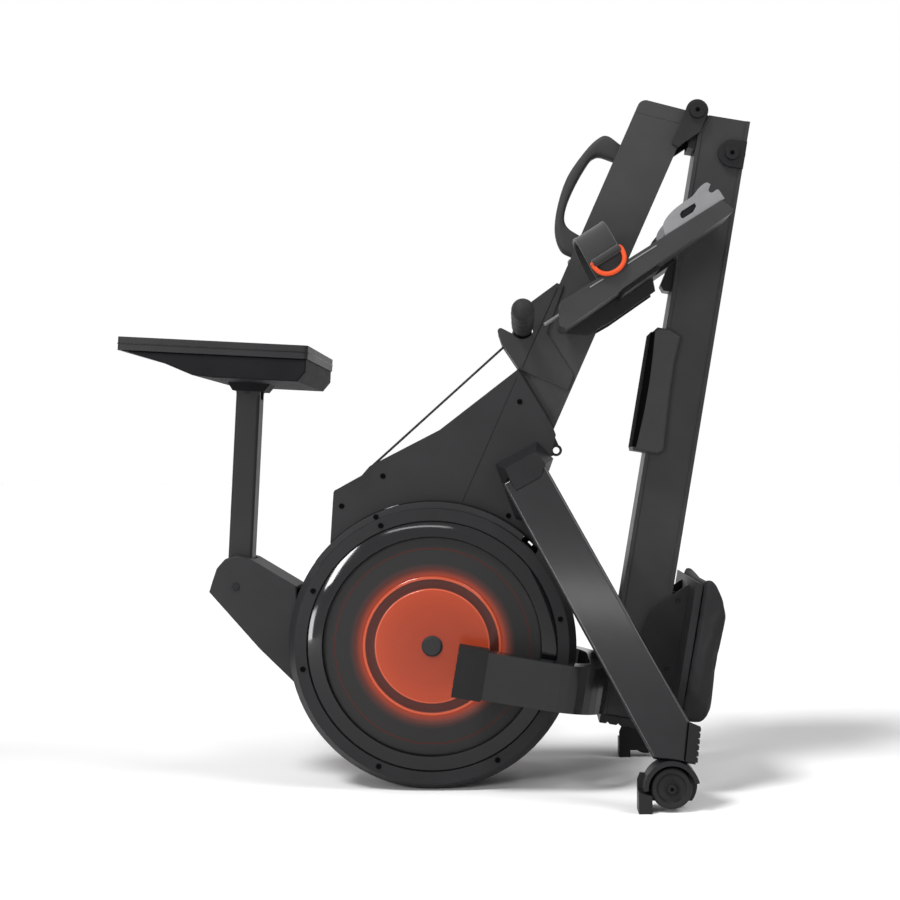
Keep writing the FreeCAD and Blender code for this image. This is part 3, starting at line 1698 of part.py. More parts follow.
def build_console():
    """Console frame: origin on the tilt pivot, X along the screen, Z out of it."""
    back = new_body("console_back")
    left, right = -179.8, 113
    under = 11
    shelf = 46
    outline = [
        (left + 6, shelf),
        (left + 30, shelf - 6),
        (-109, 30),
        (-64, 13.5),
        (-30, under),
        (right - 14, under),
        (right - 2, 27),
        (right - 2, shelf),
    ]
    bulge_half = S.console_half - 3
    wall = 3
    add_band(back, outline, -bulge_half, bulge_half)
    soften(back, 3)
    inner_half = bulge_half - wall
    cavity = [
        (left + 20, shelf + 1),
        (left + 32, shelf - 2.5),
        (-108, 33.5),
        (-63, 17),
        (-29, under + wall),
        (right - 16, under + wall),
        (right - 6, 28),
        (right - 6, shelf + 1),
    ]
    cut_band(back, cavity, -inner_half, inner_half)
    # collar round the post's fork, with the lug's bridge across it
    mouth_x = S.post_width / 2 + 2.5
    mouth_y = S.post_depth / 2 + 1
    collar = [(-34, under + 2), (-24.5, -1.5), (27, -1.5), (38, under + 2)]
    add_band(back, collar, -mouth_y - 5, mouth_y + 5)
    mouth = [(-mouth_x, -2.5), (-mouth_x, under + wall + 1), (mouth_x, under + wall + 1), (mouth_x, -2.5)]
    cut_band(back, mouth, -mouth_y, mouth_y)
    bridge = [(-34, under + 1), (-34, 27), (34, 27), (34, under + 1)]
    add_band(back, bridge, -S.lug_half, S.lug_half)
    lug = [(-S.lug_r, under + 4), (-S.lug_r, 0), (S.lug_r, 0), (S.lug_r, under + 4)]
    add_band(back, lug, -S.lug_half, S.lug_half)
    add_disc(back, 0, 0, S.lug_r, -S.lug_half, S.lug_half)
    cut_disc(back, 0, 0, S.pin_r + S.run_gap, -S.lug_half - 1, S.lug_half + 1)
    on_console(back)

    bezel = new_body("console_bezel")
    deck = 67
    frame_outline = [(left, shelf + S.fit_gap), (left, deck), (right, deck), (right, shelf + S.fit_gap)]
    add_band(bezel, frame_outline, -S.console_half, S.console_half)
    corners = [
        (left, -S.console_half),
        (left, S.console_half),
        (right, -S.console_half),
        (right, S.console_half),
    ]
    round_corners(bezel, corners, 6, axis="z")
    recess = [(left + 14, deck - 3), (left + 14, deck + 1), (right - 34, deck + 1), (right - 34, deck - 3)]
    cut_band(bezel, recess, -S.console_half + 14, S.console_half - 14)
    tray = [(left + 6, shelf), (left + 6, deck - 6), (right - 6, deck - 6), (right - 6, shelf)]
    cut_band(bezel, tray, -S.console_half + 6, S.console_half - 6)
    on_console(bezel)

    screen = new_body("console_screen")
    glass = [
        (left + 14.3, deck - 2.7),
        (left + 14.3, deck - 0.4),
        (right - 34.3, deck - 0.4),
        (right - 34.3, deck - 2.7),
    ]
    add_band(screen, glass, -S.console_half + 14.3, S.console_half - 14.3)
    on_console(screen)


def on_console(item):
    return place(item, tilt_x, 0, tilt_z, S.console_slope)


# ---------------------------------------------------------------- seat rail


rail_top = -S.rail_offset
rail_bottom = -(S.rail_offset + S.rail_depth)
rail_half = S.rail_width / 2


def build_rail():
    """An extruded box section with a raised track strip along each edge."""
    body = new_body("seat_rail")
    inner = rail_half - S.track_proud
    strip = S.track_height
    half = [
        (rail_half, rail_bottom),
        (rail_half, rail_bottom + strip),
        (inner, rail_bottom + strip),
        (inner, rail_top - strip),
        (rail_half, rail_top - strip),
        (rail_half, rail_top),
    ]
    sketch = new_sketch(body, "YZ_Plane", offset=-S.rail_length)
    draw_loop(sketch, half + mirrored(half))
    hollow_half = inner - S.rail_wall
    hollow = [
        (hollow_half, rail_bottom + S.rail_wall),
        (hollow_half, rail_top - S.rail_wall),
        (-hollow_half, rail_top - S.rail_wall),
        (-hollow_half, rail_bottom + S.rail_wall),
    ]
    draw_loop(sketch, hollow)
    extrude(body, "Pad", sketch, S.rail_length - S.end_gap)
    corner = [(-40, rail_top + 1), (1, rail_top - 14), (1, rail_top + 1)]
    cut_band(body, corner, -rail_half - 1, rail_half + 1)
    on_rail(body)

    cap = new_body("rail_end_cap")
    end = -S.rail_length - S.fit_gap
    lip = 3
    outline = [(end, rail_bottom - lip), (end, rail_top + lip)]
    ribs = 5
    pitch = (S.rail_depth + 2 * lip) / ribs
    for rib in range(ribs):
        high = rail_top + lip - pitch * rib
        outline.append((end - S.rail_cap_length, high))
        outline.append((end - S.rail_cap_length, high - pitch * 0.6))
        outline.append((end - S.rail_cap_length + 3, high - pitch * 0.75))
    outline.append((end - S.rail_cap_length, rail_bottom - lip))
    add_band(cap, outline, -rail_half - 1, rail_half + 1)
    plug_half = hollow_half - S.fit_gap
    plug = [
        (end - 1, rail_bottom + S.rail_wall + S.fit_gap),
        (end + 20, rail_bottom + S.rail_wall + S.fit_gap),
        (end + 20, rail_top - S.rail_wall - S.fit_gap),
        (end - 1, rail_top - S.rail_wall - S.fit_gap),
    ]
    add_band(cap, plug, -plug_half, plug_half)
    on_rail(cap)


def build_knuckle():
    """The rail's half of the fold hinge: a barrel on a web welded to the rail's edge."""
    body = new_body("rail_knuckle")
    half = beam_half - 1
    add_disc(body, 0, 0, S.knuckle_r, -half, half)
    web = [
        (-6, -S.knuckle_r + 2),
        (6, -S.knuckle_r + 4),
        (-4, rail_top - 15),
        (-58, rail_top + 0.1),
        (-58, 4),
        (-20, 6),
    ]
    web_half = rail_half - S.track_proud - 6
    add_band(body, web, -web_half, web_half)
    cut_disc(body, 0, 0, S.hinge_pin_r + S.run_gap, -half - 1, half + 1)
    NODES.pop("rail_knuckle")
    body.Label = "knuckle_block"
    on_rail(body)
    subtract("rail_knuckle", body, [NODES["seat_rail"]])


def build_latch():
    """Fold-lock tab with its bolt, and the catch block on the rail's underside."""
    side_low = rail_half + S.fit_gap
    plates = []
    tab_x, tab_out = -58.6, -66.4
    tab_r = 22
    for name, low, high in (("near", -side_low - 6, -side_low), ("far", side_low, side_low + 6)):
        tab = new_body(f"latch_tab_{name}", node=False)
        add_disc(tab, tab_x, tab_out, tab_r, low, high)
        tongue = [
            (tab_x - tab_r, tab_out),
            (tab_x + tab_r, tab_out),
            (tab_x + tab_r, rail_bottom),
            (tab_x - tab_r, rail_bottom),
        ]
        add_band(tab, tongue, low, high)
        if name == "near":
            boss_low, boss_high = as_size(low) - 5, as_size(low)
        else:
            boss_low, boss_high = as_size(high), as_size(high) + 5
        add_disc(tab, tab_x, tab_out, 11, boss_low, boss_high)
        plates.append(on_rail(tab))
    block = new_body("catch_block", node=False)
    seat = rail_top + S.fit_gap
    outline = [(-292, seat), (-292, seat + 12), (-284, seat + 18), (-250, seat + 10), (-238, seat)]
    add_band(block, outline, -18, 18)
    plates.append(on_rail(block))
    group("rail_latch", plates)


def build_grip_cover():
    """A moulded saddle over the rail's underside that serves as a carrying grip."""
    body = new_body("rail_grip_cover")
    skin_low = rail_half + S.fit_gap
    skin_high = skin_low + 9
    roof = rail_top + 23
    outline = [
        (-557, -27),
        (-557, roof - 2),
        (-551, roof),
        (-366, roof),
        (-355, roof - 9),
        (-355, -12),
        (-364, -33),
        (-405, -30),
        (-463, -31),
        (-520, -34),
        (-549, -36),
    ]
    add_band(body, outline, -skin_high, skin_high)
    soften(body, 5)
    channel = [
        (-570, -60),
        (-570, rail_top + S.fit_gap),
        (-340, rail_top + S.fit_gap),
        (-340, -60),
    ]
    cut_band(body, channel, -skin_low, skin_low)
    hollow = [
        (-530, rail_top),
        (-530, roof - 4),
        (-385, roof - 4),
        (-385, rail_top),
    ]
    cut_band(body, hollow, -rail_half + 4, rail_half - 4)
    on_rail(body)


def build_rear_leg():
    """An arched bar under the rail's end, with ribbed caps that stand on the floor in use."""
    body = new_body("rear_leg")
    half = S.rear_bar / 2
    arm = S.rear_half - half
    crown = rail_top + S.fit_gap
    spine = crown + half
    bend = S.rear_bend
    outer_r = bend + half
    inner_r = bend - half
    cap_reach = 46
    tip = S.rear_reach - cap_reach + 12

    centre_y = arm - bend
    centre_z = spine + bend
    steps = range(11)

    def arch(grow, end):
        """Half of the bar's outline, thickened by grow, with its arm cut off at end."""
        outside = [
            (centre_y + (outer_r + grow) * sin(9 * i), centre_z - (outer_r + grow) * cos(9 * i))
            for i in steps
        ]
        inside = [
            (centre_y + (inner_r - grow) * cos(9 * i), centre_z - (inner_r - grow) * sin(9 * i))
            for i in steps
        ]
        arm_ends = [(arm + half + grow, end), (arm - half - grow, end)]
        return outside + arm_ends + inside

    wall = 3
    sketch = new_sketch(body, "YZ_Plane", offset=S.rear_low)
    right = arch(0, tip)
    draw_loop(sketch, right + mirrored(right))
    extrude(body, "Pad", sketch, S.rear_height)
    sketch = new_sketch(body, "YZ_Plane", offset=S.rear_low + wall)
    right = arch(-wall, tip + 1)
    draw_loop(sketch, right + mirrored(right))
    extrude(body, "Pocket", sketch, S.rear_height - 2 * wall, backwards=True)
    on_rail(body)

    caps = []
    for name, side in (("near", -1), ("far", 1)):
        cap = new_body(f"rear_cap_{name}", node=False)
        grow = 2.5
        low, high = S.rear_low - grow, S.rear_low + S.rear_height + grow
        start = S.rear_reach - cap_reach
        ribs = 6
        outline = [(low, start), (high, start)]
        pitch = (high - low) / ribs
        for rib in range(ribs):
            top = high - pitch * rib
            outline.append((top, S.rear_reach))
            outline.append((top - pitch * 0.6, S.rear_reach))
            outline.append((top - pitch * 0.75, S.rear_reach - 2.5))
        outline.append((low, S.rear_reach))
        middle = side * arm
        add_band(cap, outline, middle - half - grow, middle + half + grow)
        well = [
            (S.rear_low - S.fit_gap, start - 1),
            (S.rear_low + S.rear_height + S.fit_gap, start - 1),
            (S.rear_low + S.rear_height + S.fit_gap, tip + S.fit_gap),
            (S.rear_low - S.fit_gap, tip + S.fit_gap),
        ]
        cut_band(cap, well, middle - half - S.fit_gap, middle + half + S.fit_gap)
        caps.append(on_rail(cap))
    group("rear_leg_caps", caps)


# ---------------------------------------------------------------- seat


seat_flat = -S.seat_base
roller_out = rail_bottom - S.roller_r - S.fit_gap
roller_spots = (S.seat_high - 60, S.seat_low + 70)
roller_pin_r = 4


def build_seat():
    cushion = new_body("seat_cushion")
    crown = seat_flat - 38
    low, high = S.seat_low, S.seat_high
    outline = [
        (low, seat_flat - S.fit_gap),
        (low + 2, crown + 8),
        (low + 14, crown),
        (low + 90, crown + 3),
        (high - 60, crown + 1),
        (high - 34, crown + 10),
        (high - 10, seat_flat - 12),
        (high - 6, seat_flat - S.fit_gap),
    ]
    add_band(cushion, outline, -S.seat_half, S.seat_half)
    corners = []
    for side in (-1, 1):
        corners.append((low, side * S.seat_half))
    on_rail(cushion)

    carriage = new_body("seat_carriage")
    pan_low = seat_flat + 11
    pan = [(low + 12, seat_flat), (high - 24, seat_flat), (high - 20, pan_low), (low + 12, pan_low)]
    add_band(carriage, pan, -S.seat_half + 18, S.seat_half - 18)
    cheek_wall = 5
    cheek = [
        (high - 30, pan_low - 1),
        (high - 34, pan_low + 5),
        (high - 62, -78),
        (high - 87, -56),
        (high - 116, -50),
        (low + 62, -50),
        (low + 34, -72),
        (low + 30, pan_low - 1),
    ]
    for side_low in (-S.carriage_half, S.carriage_half - cheek_wall):
        add_band(carriage, cheek, side_low, side_low + cheek_wall)
    for along in roller_spots:
        cut_disc(carriage, along, roller_out, roller_pin_r + S.run_gap, -S.carriage_half - 1, S.carriage_half + 1)
    on_rail(carriage)

    for name, along in zip(("front", "rear"), roller_spots):
        roller = new_body(f"seat_roller_{name}")
        reach = S.carriage_half - 1
        track = rail_half - 4
        revolve(
            roller,
            [
                (0, -reach),
                (roller_pin_r, -reach),
                (roller_pin_r, -track),
                (S.roller_r, -track),
                (S.roller_r, -track + 18),
                (roller_pin_r, -track + 18),
                (roller_pin_r, track - 18),
                (S.roller_r, track - 18),
                (S.roller_r, track),
                (roller_pin_r, track),
                (roller_pin_r, reach),
                (0, reach),
            ],
        )
        x = S.hinge_x + cos(S.rail_lean) * along - sin(S.rail_lean) * roller_out
        z = S.hinge_z + sin(S.rail_lean) * along + cos(S.rail_lean) * roller_out
        place(roller, x, 0, z, 90, axis=(1, 0, 0))


# ---------------------------------------------------------------- build, check and write


def check_document():
    doc.recompute()
    for item in doc.Objects:
        if "Invalid" in item.State or "Error" in item.State:
            raise RuntimeError(f"{item.Label}: {item.State}")
    for label, item in NODES.items():
        shape = item.Shape
        if shape.isNull() or not shape.isValid() or not shape.Solids:
            raise RuntimeError(f"{label}: its shape is empty or not valid")


def write_parts():
    os.makedirs("parts", exist_ok=True)
    for label, item in NODES.items():
        item.Shape.exportStep(f"parts/{label}.step")


def main():
    build_beam()
    build_hinge()
    build_lift_handle()
    build_cradle()
    build_pedal_bracket()
    build_housing("near", -1)
    build_housing("far", 1)
    build_housing_trim()
    build_flywheel()
    build_axles()
    build_axle_plates()
    build_reel()
    build_belt()
    build_brake()
    build_cover("near", -1)
    build_cover("far", 1)
    build_strap_guide()
    build_screws()
    build_leg("near", -1)
    build_leg("far", 1)
    build_foot_pads()
    build_leg_sockets()
    build_cross_tube()
    build_wheel_bracket()
    build_wheels()
    build_footplate("near", -1)
    build_footplate("far", 1)
    build_heel_cup("near", -1)
    build_heel_cup("far", 1)
    build_foot_straps()
    build_handle()
    build_drive_strap()
    build_arm()
    build_post()
    build_console()
    build_rail()
    build_knuckle()
    build_latch()
    build_grip_cover()
    build_rear_leg()
    build_seat()
    check_document()
    write_parts()
    whole = Part.makeCompound([item.Shape for item in NODES.values()])
    box = whole.BoundBox
    print(f"{len(NODES)} nodes")
    print(f"x {box.XMin:.1f} {box.XMax:.1f}  y {box.YMin:.1f} {box.YMax:.1f}  z {box.ZMin:.1f} {box.ZMax:.1f}")


main()
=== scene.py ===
"""Looks of the folding rowing machine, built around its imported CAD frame. Metres, Z up."""

import json
import math

import bmesh
import bpy
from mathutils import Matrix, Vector


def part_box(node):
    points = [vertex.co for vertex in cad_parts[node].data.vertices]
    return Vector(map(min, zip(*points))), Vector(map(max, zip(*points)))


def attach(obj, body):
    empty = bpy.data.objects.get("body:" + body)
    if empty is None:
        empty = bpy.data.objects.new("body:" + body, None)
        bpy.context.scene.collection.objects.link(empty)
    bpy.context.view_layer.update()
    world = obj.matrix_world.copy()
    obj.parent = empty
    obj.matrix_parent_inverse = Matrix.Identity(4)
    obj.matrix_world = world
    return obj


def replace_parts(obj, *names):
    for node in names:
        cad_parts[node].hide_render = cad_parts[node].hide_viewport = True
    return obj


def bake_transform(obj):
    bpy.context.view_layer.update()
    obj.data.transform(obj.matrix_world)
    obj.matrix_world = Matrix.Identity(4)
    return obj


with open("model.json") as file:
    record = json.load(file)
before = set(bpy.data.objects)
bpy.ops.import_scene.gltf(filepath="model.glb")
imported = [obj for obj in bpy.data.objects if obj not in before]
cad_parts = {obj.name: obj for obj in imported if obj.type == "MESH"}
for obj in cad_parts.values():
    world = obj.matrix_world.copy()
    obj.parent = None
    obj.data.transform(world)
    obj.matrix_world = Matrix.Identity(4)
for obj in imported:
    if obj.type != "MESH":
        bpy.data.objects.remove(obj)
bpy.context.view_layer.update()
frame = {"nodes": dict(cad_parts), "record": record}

NODES = frame["nodes"]

# ---------------------------------------------------------------- places, from the CAD's sizes


def middle(node):
    """The middle of a node's box, on the plane of symmetry."""
    low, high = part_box(node)
    return Vector(((low.x + high.x) / 2, 0, (low.z + high.z) / 2))


HINGE = middle("hinge_pin")
AXLE = middle("hub_caps")
BEAM_LEAN = math.radians(66.3)
RAIL_LEAN = math.radians(80.65)
# the toe edge of the footplates' top, its slope, and how far each plate lies from the middle plane
PEDAL_EDGE = Vector((0.18445, 0, 0.7657))
PEDAL_LEAN = math.radians(32.2)
PEDAL_MIDDLE = 0.121
# half the width of the drive cover
COVER_HALF = 0.060
SIDES = (("near", -1), ("far", 1))
FORWARD = Vector((1, 0, 0))
LEFTWARD = Vector((0, 1, 0))


def leaning(origin, lean):
    """A function from a leaning frame's (along, across, out) to the row frame."""
    along = Vector((math.cos(lean), 0, math.sin(lean)))
    out = Vector((-math.sin(lean), 0, math.cos(lean)))
    return lambda x, y, z: origin + along * x + out * z + Vector((0, y, 0))


def spoke(degrees):
    """A unit vector in the fold plane, at an angle above level."""
    turn = math.radians(degrees)
    return Vector((math.cos(turn), 0, math.sin(turn)))


def fractions(steps):
    """Evenly spaced shares of a whole, from 0 to 1."""
    return [i / steps for i in range(steps + 1)]


on_beam = leaning(HINGE, BEAM_LEAN)
on_rail = leaning(HINGE, RAIL_LEAN)
on_pedal = leaning(PEDAL_EDGE, PEDAL_LEAN)


# ---------------------------------------------------------------- materials


class Nodes:
    """Short hands for building one material's node tree."""

    def __init__(self, name):
        self.material = bpy.data.materials.new(name)
        self.material.use_nodes = True
        self.tree = self.material.node_tree
        self.tree.nodes.clear()
        self.shader = self.add("ShaderNodeBsdfPrincipled")
        output = self.add("ShaderNodeOutputMaterial")
        self.link(self.shader.outputs[0], output.inputs["Surface"])
        self.place = self.add("ShaderNodeTexCoord").outputs["Object"]

    def add(self, kind, **values):
        node = self.tree.nodes.new(kind)
        for key, value in values.items():
            setattr(node, key, value)
        return node

    def link(self, source, target):
        self.tree.links.new(source, target)

    def set(self, **values):
        for name, value in values.items():
            self.shader.inputs[name.replace("_", " ")].default_value = value

    def noise(self, scale, detail=3.0, stretch=None):
        node = self.add("ShaderNodeTexNoise")
        node.inputs["Scale"].default_value = scale
        node.inputs["Detail"].default_value = detail
        place = self.place
        if stretch:
            mapping = self.add("ShaderNodeMapping")
            mapping.inputs["Scale"].default_value = stretch
            self.link(place, mapping.inputs["Vector"])
            place = mapping.outputs[0]
        self.link(place, node.inputs["Vector"])
        return node.outputs["Fac"]

    def ramp(self, source, stops):
        node = self.add("ShaderNodeValToRGB")
        ramp = node.color_ramp
        while len(ramp.elements) < len(stops):
            ramp.elements.new(0.5)
        for element, (position, color) in zip(ramp.elements, stops):
            element.position = position
            element.color = color
        self.link(source, node.inputs[0])
        return node.outputs["Color"]

    def between(self, source, low, high):
        node = self.add("ShaderNodeMapRange")
        node.inputs["To Min"].default_value = low
        node.inputs["To Max"].default_value = high
        self.link(source, node.inputs["Value"])
        return node.outputs["Result"]

    def math(self, operation, a, b=None):
        node = self.add("ShaderNodeMath", operation=operation)
        for index, value in enumerate((a, b)):
            if value is None:
                continue
            if isinstance(value, (int, float)):
                node.inputs[index].default_value = value
            else:
                self.link(value, node.inputs[index])
        return node.outputs[0]

    def split(self, vector):
        node = self.add("ShaderNodeSeparateXYZ")
        self.link(vector, node.inputs[0])
        return node.outputs

    def bump(self, height, strength, distance, edge=0.0):
        """Surface relief; edge rounds the shading of hard corners by that radius."""
        node = self.add("ShaderNodeBump")
        node.inputs["Strength"].default_value = strength
        node.inputs["Distance"].default_value = distance
        self.link(height, node.inputs["Height"])
        if edge:
            round_edge = self.add("ShaderNodeBevel")
            round_edge.samples = 4
            round_edge.inputs["Radius"].default_value = edge
            self.link(round_edge.outputs[0], node.inputs["Normal"])
        self.link(node.outputs[0], self.shader.inputs["Normal"])


def shade(color, factor):
    return tuple(min(1, c * factor) for c in color[:3]) + (1,)


def moulded(name, color, rough, grain=900, relief=0.12, edge=0.0012, spread=0.16, **values):
    """Moulded plastic, paint or rubber: a mottled tone, a fine grain and softened corners."""
    n = Nodes(name)
    n.set(**{"Specular_IOR_Level": 0.14, **values})
    tone = n.noise(scale=9, detail=5)
    mottle = n.ramp(tone, [(0.3, shade(color, 1 - spread)), (0.7, shade(color, 1 + spread))])
    n.link(mottle, n.shader.inputs["Base Color"])
    n.link(n.between(n.noise(scale=40, detail=4), rough - 0.06, rough + 0.06), n.shader.inputs["Roughness"])
    n.bump(n.noise(grain, detail=2), relief, distance=0.0004, edge=edge)
    return n.material


def metal(name, color, rough, stretch=(1, 40, 1)):
    """Turned or drawn metal with a directional grain."""
    n = Nodes(name)
    n.set(Metallic=1.0)
    grain = n.noise(scale=60, detail=4, stretch=stretch)
    n.link(n.ramp(grain, [(0.3, shade(color, 0.8)), (0.7, shade(color, 1.1))]), n.shader.inputs["Base Color"])
    n.link(n.between(grain, rough - 0.08, rough + 0.1), n.shader.inputs["Roughness"])
    n.bump(grain, strength=0.1, distance=0.0003, edge=0.0008)
    return n.material


def woven(name, color):
    """Webbing: crossing yarns with a soft sheen."""
    n = Nodes(name)
    n.set(Roughness=0.85, Sheen_Weight=0.25, Sheen_Roughness=0.5)
    yarn_pitch = 2600  # radians per metre
    x, y, z = n.split(n.place)
    warp = n.math("SINE", n.math("MULTIPLY", n.math("ADD", x, z), yarn_pitch))
    weft = n.math("SINE", n.math("MULTIPLY", y, yarn_pitch))
    yarn = n.math("MULTIPLY", warp, weft)
    cloth = n.ramp(n.between(yarn, 0.1, 0.9), [(0.2, shade(color, 0.75)), (0.8, shade(color, 1.2))])
    n.link(cloth, n.shader.inputs["Base Color"])
    n.bump(yarn, strength=0.3, distance=0.0003)
    return n.material


def radius_from_axle(n):
    """The distance from the housing's axle, as a node output."""
    x, _, z = n.split(n.place)
    dx = n.math("SUBTRACT", x, AXLE.x)
    dz = n.math("SUBTRACT", z, AXLE.z)
    squares = n.math("ADD", n.math("MULTIPLY", dx, dx), n.math("MULTIPLY", dz, dz))
    return n.math("SQRT", squares)


def disc_face():
    """The housing's dark disc: light from the lens spills on it and a fine red line runs round it."""
    n = Nodes("disc_face")
    n.set(Roughness=0.45, Specular_IOR_Level=0.15, Emission_Color=(1.0, 0.13, 0.06, 1))
    ramp_radius = 0.2
    reach = n.math("DIVIDE", radius_from_axle(n), ramp_radius)
    dark, line = (0.018, 0.017, 0.017, 1), (0.060, 0.008, 0.005, 1)
    spill = (0.06, 0.018, 0.013, 1)
    stops = [(0.560, spill), (0.63, dark), (0.771, dark), (0.774, line), (0.778, line), (0.781, dark)]
    n.link(n.ramp(reach, stops), n.shader.inputs["Base Color"])
    glow = [(0.0, 0.0), (0.54, 0.0), (0.556, 0.30), (0.578, 0.19), (0.605, 0.07), (0.66, 0.0)]
    n.link(n.ramp(reach, [(at, (g, g, g, 1)) for at, g in glow]), n.shader.inputs["Emission Strength"])
    n.bump(n.noise(scale=1100, detail=2), strength=0.08, distance=0.0003, edge=0.001)
    return n.material


def lens_glass():
    """The lit lens: an orange disc, a smoky ring and a bright rim."""
    n = Nodes("lens_glass")
    n.set(Roughness=0.20, Specular_IOR_Level=0.25, Emission_Color=(1.0, 0.13, 0.05, 1))
    ramp_radius = 0.12
    reach = n.math("DIVIDE", radius_from_axle(n), ramp_radius)
    smoke = (0.050, 0.010, 0.007, 1)
    rim = (0.40, 0.075, 0.035, 1)
    color = [
        (0.0, (0.235, 0.030, 0.012, 1)),
        (0.50, (0.255, 0.034, 0.013, 1)),
        (0.738, (0.300, 0.040, 0.015, 1)),
        (0.752, rim),
        (0.766, smoke),
        (0.878, smoke),
        (0.892, rim),
        (0.925, (0.30, 0.040, 0.016, 1)),
    ]
    n.link(n.ramp(reach, color), n.shader.inputs["Base Color"])
    lit = [(0.0, 0.015), (0.738, 0.03), (0.752, 0.20), (0.766, 0.0), (0.878, 0.0), (0.895, 0.07), (1.0, 0.05)]
    n.link(n.ramp(reach, [(at, (g, g, g, 1)) for at, g in lit]), n.shader.inputs["Emission Strength"])
    n.bump(n.noise(scale=25, detail=2), strength=0.03, distance=0.001)
    return n.material


def make_materials():
    """Every finish, by the name of its record slot or, where a piece has its own look, of that look."""
    soft_gloss = {"Coat_Weight": 0.3, "Coat_Roughness": 0.12}
    hard_gloss = {"Coat_Weight": 1.0, "Coat_Roughness": 0.03}
    # name: base colour, roughness, grain scale, grain depth, and what differs from moulded()'s defaults
    moulded_finishes = {
        "frame_paint": ((0.019, 0.019, 0.020), 0.46, 1500, 0.10, {}),
        "beam_paint": ((0.039, 0.039, 0.040), 0.46, 1500, 0.10, {}),
        "pale_plastic": ((0.034, 0.034, 0.035), 0.5, 1100, 0.15, {}),
        "console_plastic": ((0.010, 0.010, 0.011), 0.6, 1100, 0.15, {"Specular_IOR_Level": 0.04}),
        # near-black that stands in for shade: painted shade in screw holes, sockets, vent slots and the grip
        # recess
        "painted_shade_black": ((0.002, 0.002, 0.002), 0.8, 900, 0.1, {"edge": 0, "Specular_IOR_Level": 0.02}),
        "leg_paint": ((0.010, 0.010, 0.011), 0.22, 1500, 0.02, soft_gloss),
        "rail_finish": ((0.030, 0.030, 0.031), 0.40, 1700, 0.07, {}),
        "cover_plastic": ((0.018, 0.018, 0.019), 0.52, 1100, 0.16, {}),
        "trim_plastic": ((0.014, 0.014, 0.015), 0.46, 1100, 0.14, {}),
        "gloss_black": ((0.004, 0.004, 0.005), 0.07, 300, 0.004, {"edge": 0, "Specular_IOR_Level": 0.35}),
        "hub_plastic": ((0.022, 0.022, 0.023), 0.5, 900, 0.12, {}),
        "dark_steel": ((0.010, 0.010, 0.011), 0.36, 1600, 0.08, {}),
        "rubber": ((0.010, 0.010, 0.010), 0.7, 700, 0.3, {}),
        "tyre": ((0.016, 0.016, 0.016), 0.6, 700, 0.25, {}),
        "light_grey": ((0.19, 0.19, 0.195), 0.4, 1200, 0.06, {"spread": 0.07}),
        "orange_ring": ((0.62, 0.070, 0.018), 0.4, 900, 0.06, {"spread": 0.08}),
        "grip_foam": ((0.018, 0.018, 0.019), 0.58, 1400, 0.4, {}),
        "seat_cover": ((0.018, 0.018, 0.019), 0.6, 650, 0.35, {"edge": 0, "Specular_IOR_Level": 0.08}),
        "screen": ((0.006, 0.006, 0.007), 0.08, 200, 0.005, {"edge": 0, **hard_gloss}),
    }
    finishes = {
        name: moulded(name, color, rough, grain, relief, **more)
        for name, (color, rough, grain, relief, more) in moulded_finishes.items()
    }
    finishes["disc_plastic"] = disc_face()
    finishes["orange_lens"] = lens_glass()
    finishes["steel"] = metal("steel", (0.45, 0.45, 0.46), 0.3)
    finishes["cast_iron"] = metal("cast_iron", (0.2, 0.2, 0.21), 0.45)
    finishes["webbing"] = woven("webbing", (0.011, 0.011, 0.012))
    return finishes


MATERIALS = make_materials()

# CAD nodes that look different from the rest of their slot
OWN_FINISH = {
    "post_pin": "dark_steel",
    "tilt_pin": "dark_steel",
    "seat_roller_front": "dark_steel",
    "seat_roller_rear": "dark_steel",
    "main_beam": "beam_paint",
    "beam_end_cap": "beam_paint",
    "rail_grip_cover": "pale_plastic",
    "footplate_near": "pale_plastic",
    "footplate_far": "pale_plastic",
    "console_back": "console_plastic",
    "handle_cradle": "rail_finish",
    # screw recesses in near-black: painted shade
    "cover_screws": "painted_shade_black",
}


def dress_nodes():
    """Gives every carried-over CAD node its own finish or that of its material slot."""
    for part in frame["record"]["subparts"]:
        piece = NODES[part["node"]]
        finish = OWN_FINISH.get(part["node"], part["material_slot"])
        piece.data.materials.clear()
        piece.data.materials.append(MATERIALS[finish])


# ---------------------------------------------------------------- mesh helpers


def face_outward(mesh, to_world=None):
    """Turns every face of a closed mesh to look outward, after moving its points if asked."""
    work = bmesh.new()
    work.from_mesh(mesh)
    if to_world:
        bmesh.ops.remove_doubles(work, verts=work.verts, dist=1e-6)
        for v in work.verts:
            v.co = to_world(v.co)
    bmesh.ops.recalc_face_normals(work, faces=work.faces)
    if work.calc_volume(signed=True) < 0:
        bmesh.ops.reverse_faces(work, faces=work.faces)
    work.to_mesh(mesh)
    work.free()
    mesh.update()


def place_piece(name, mesh, slot, body, sharp):
    """Puts a mesh in the scene with its slot's finish. It rides the body, if one is given."""
    piece = bpy.data.objects.new(name, mesh)
    bpy.context.scene.collection.objects.link(piece)
    mesh.materials.clear()
    mesh.materials.append(MATERIALS[slot])
    mesh.shade_smooth()
    mesh.set_sharp_from_angle(angle=math.radians(sharp))
    if body:
        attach(piece, body)
    return piece


def new_piece(name, vertices, faces, slot, body, sharp=40):
    """A visible piece from its points and faces. Edges over sharp degrees stay crisp."""
    mesh = bpy.data.meshes.new(name)
    mesh.from_pydata([tuple(v) for v in vertices], [], faces)
    mesh.validate()
    face_outward(mesh)
    return place_piece(name, mesh, slot, body, sharp)


def refinish(piece, finish):
    """Another look than the one that its slot gives."""
    piece.data.materials[0] = MATERIALS[finish]


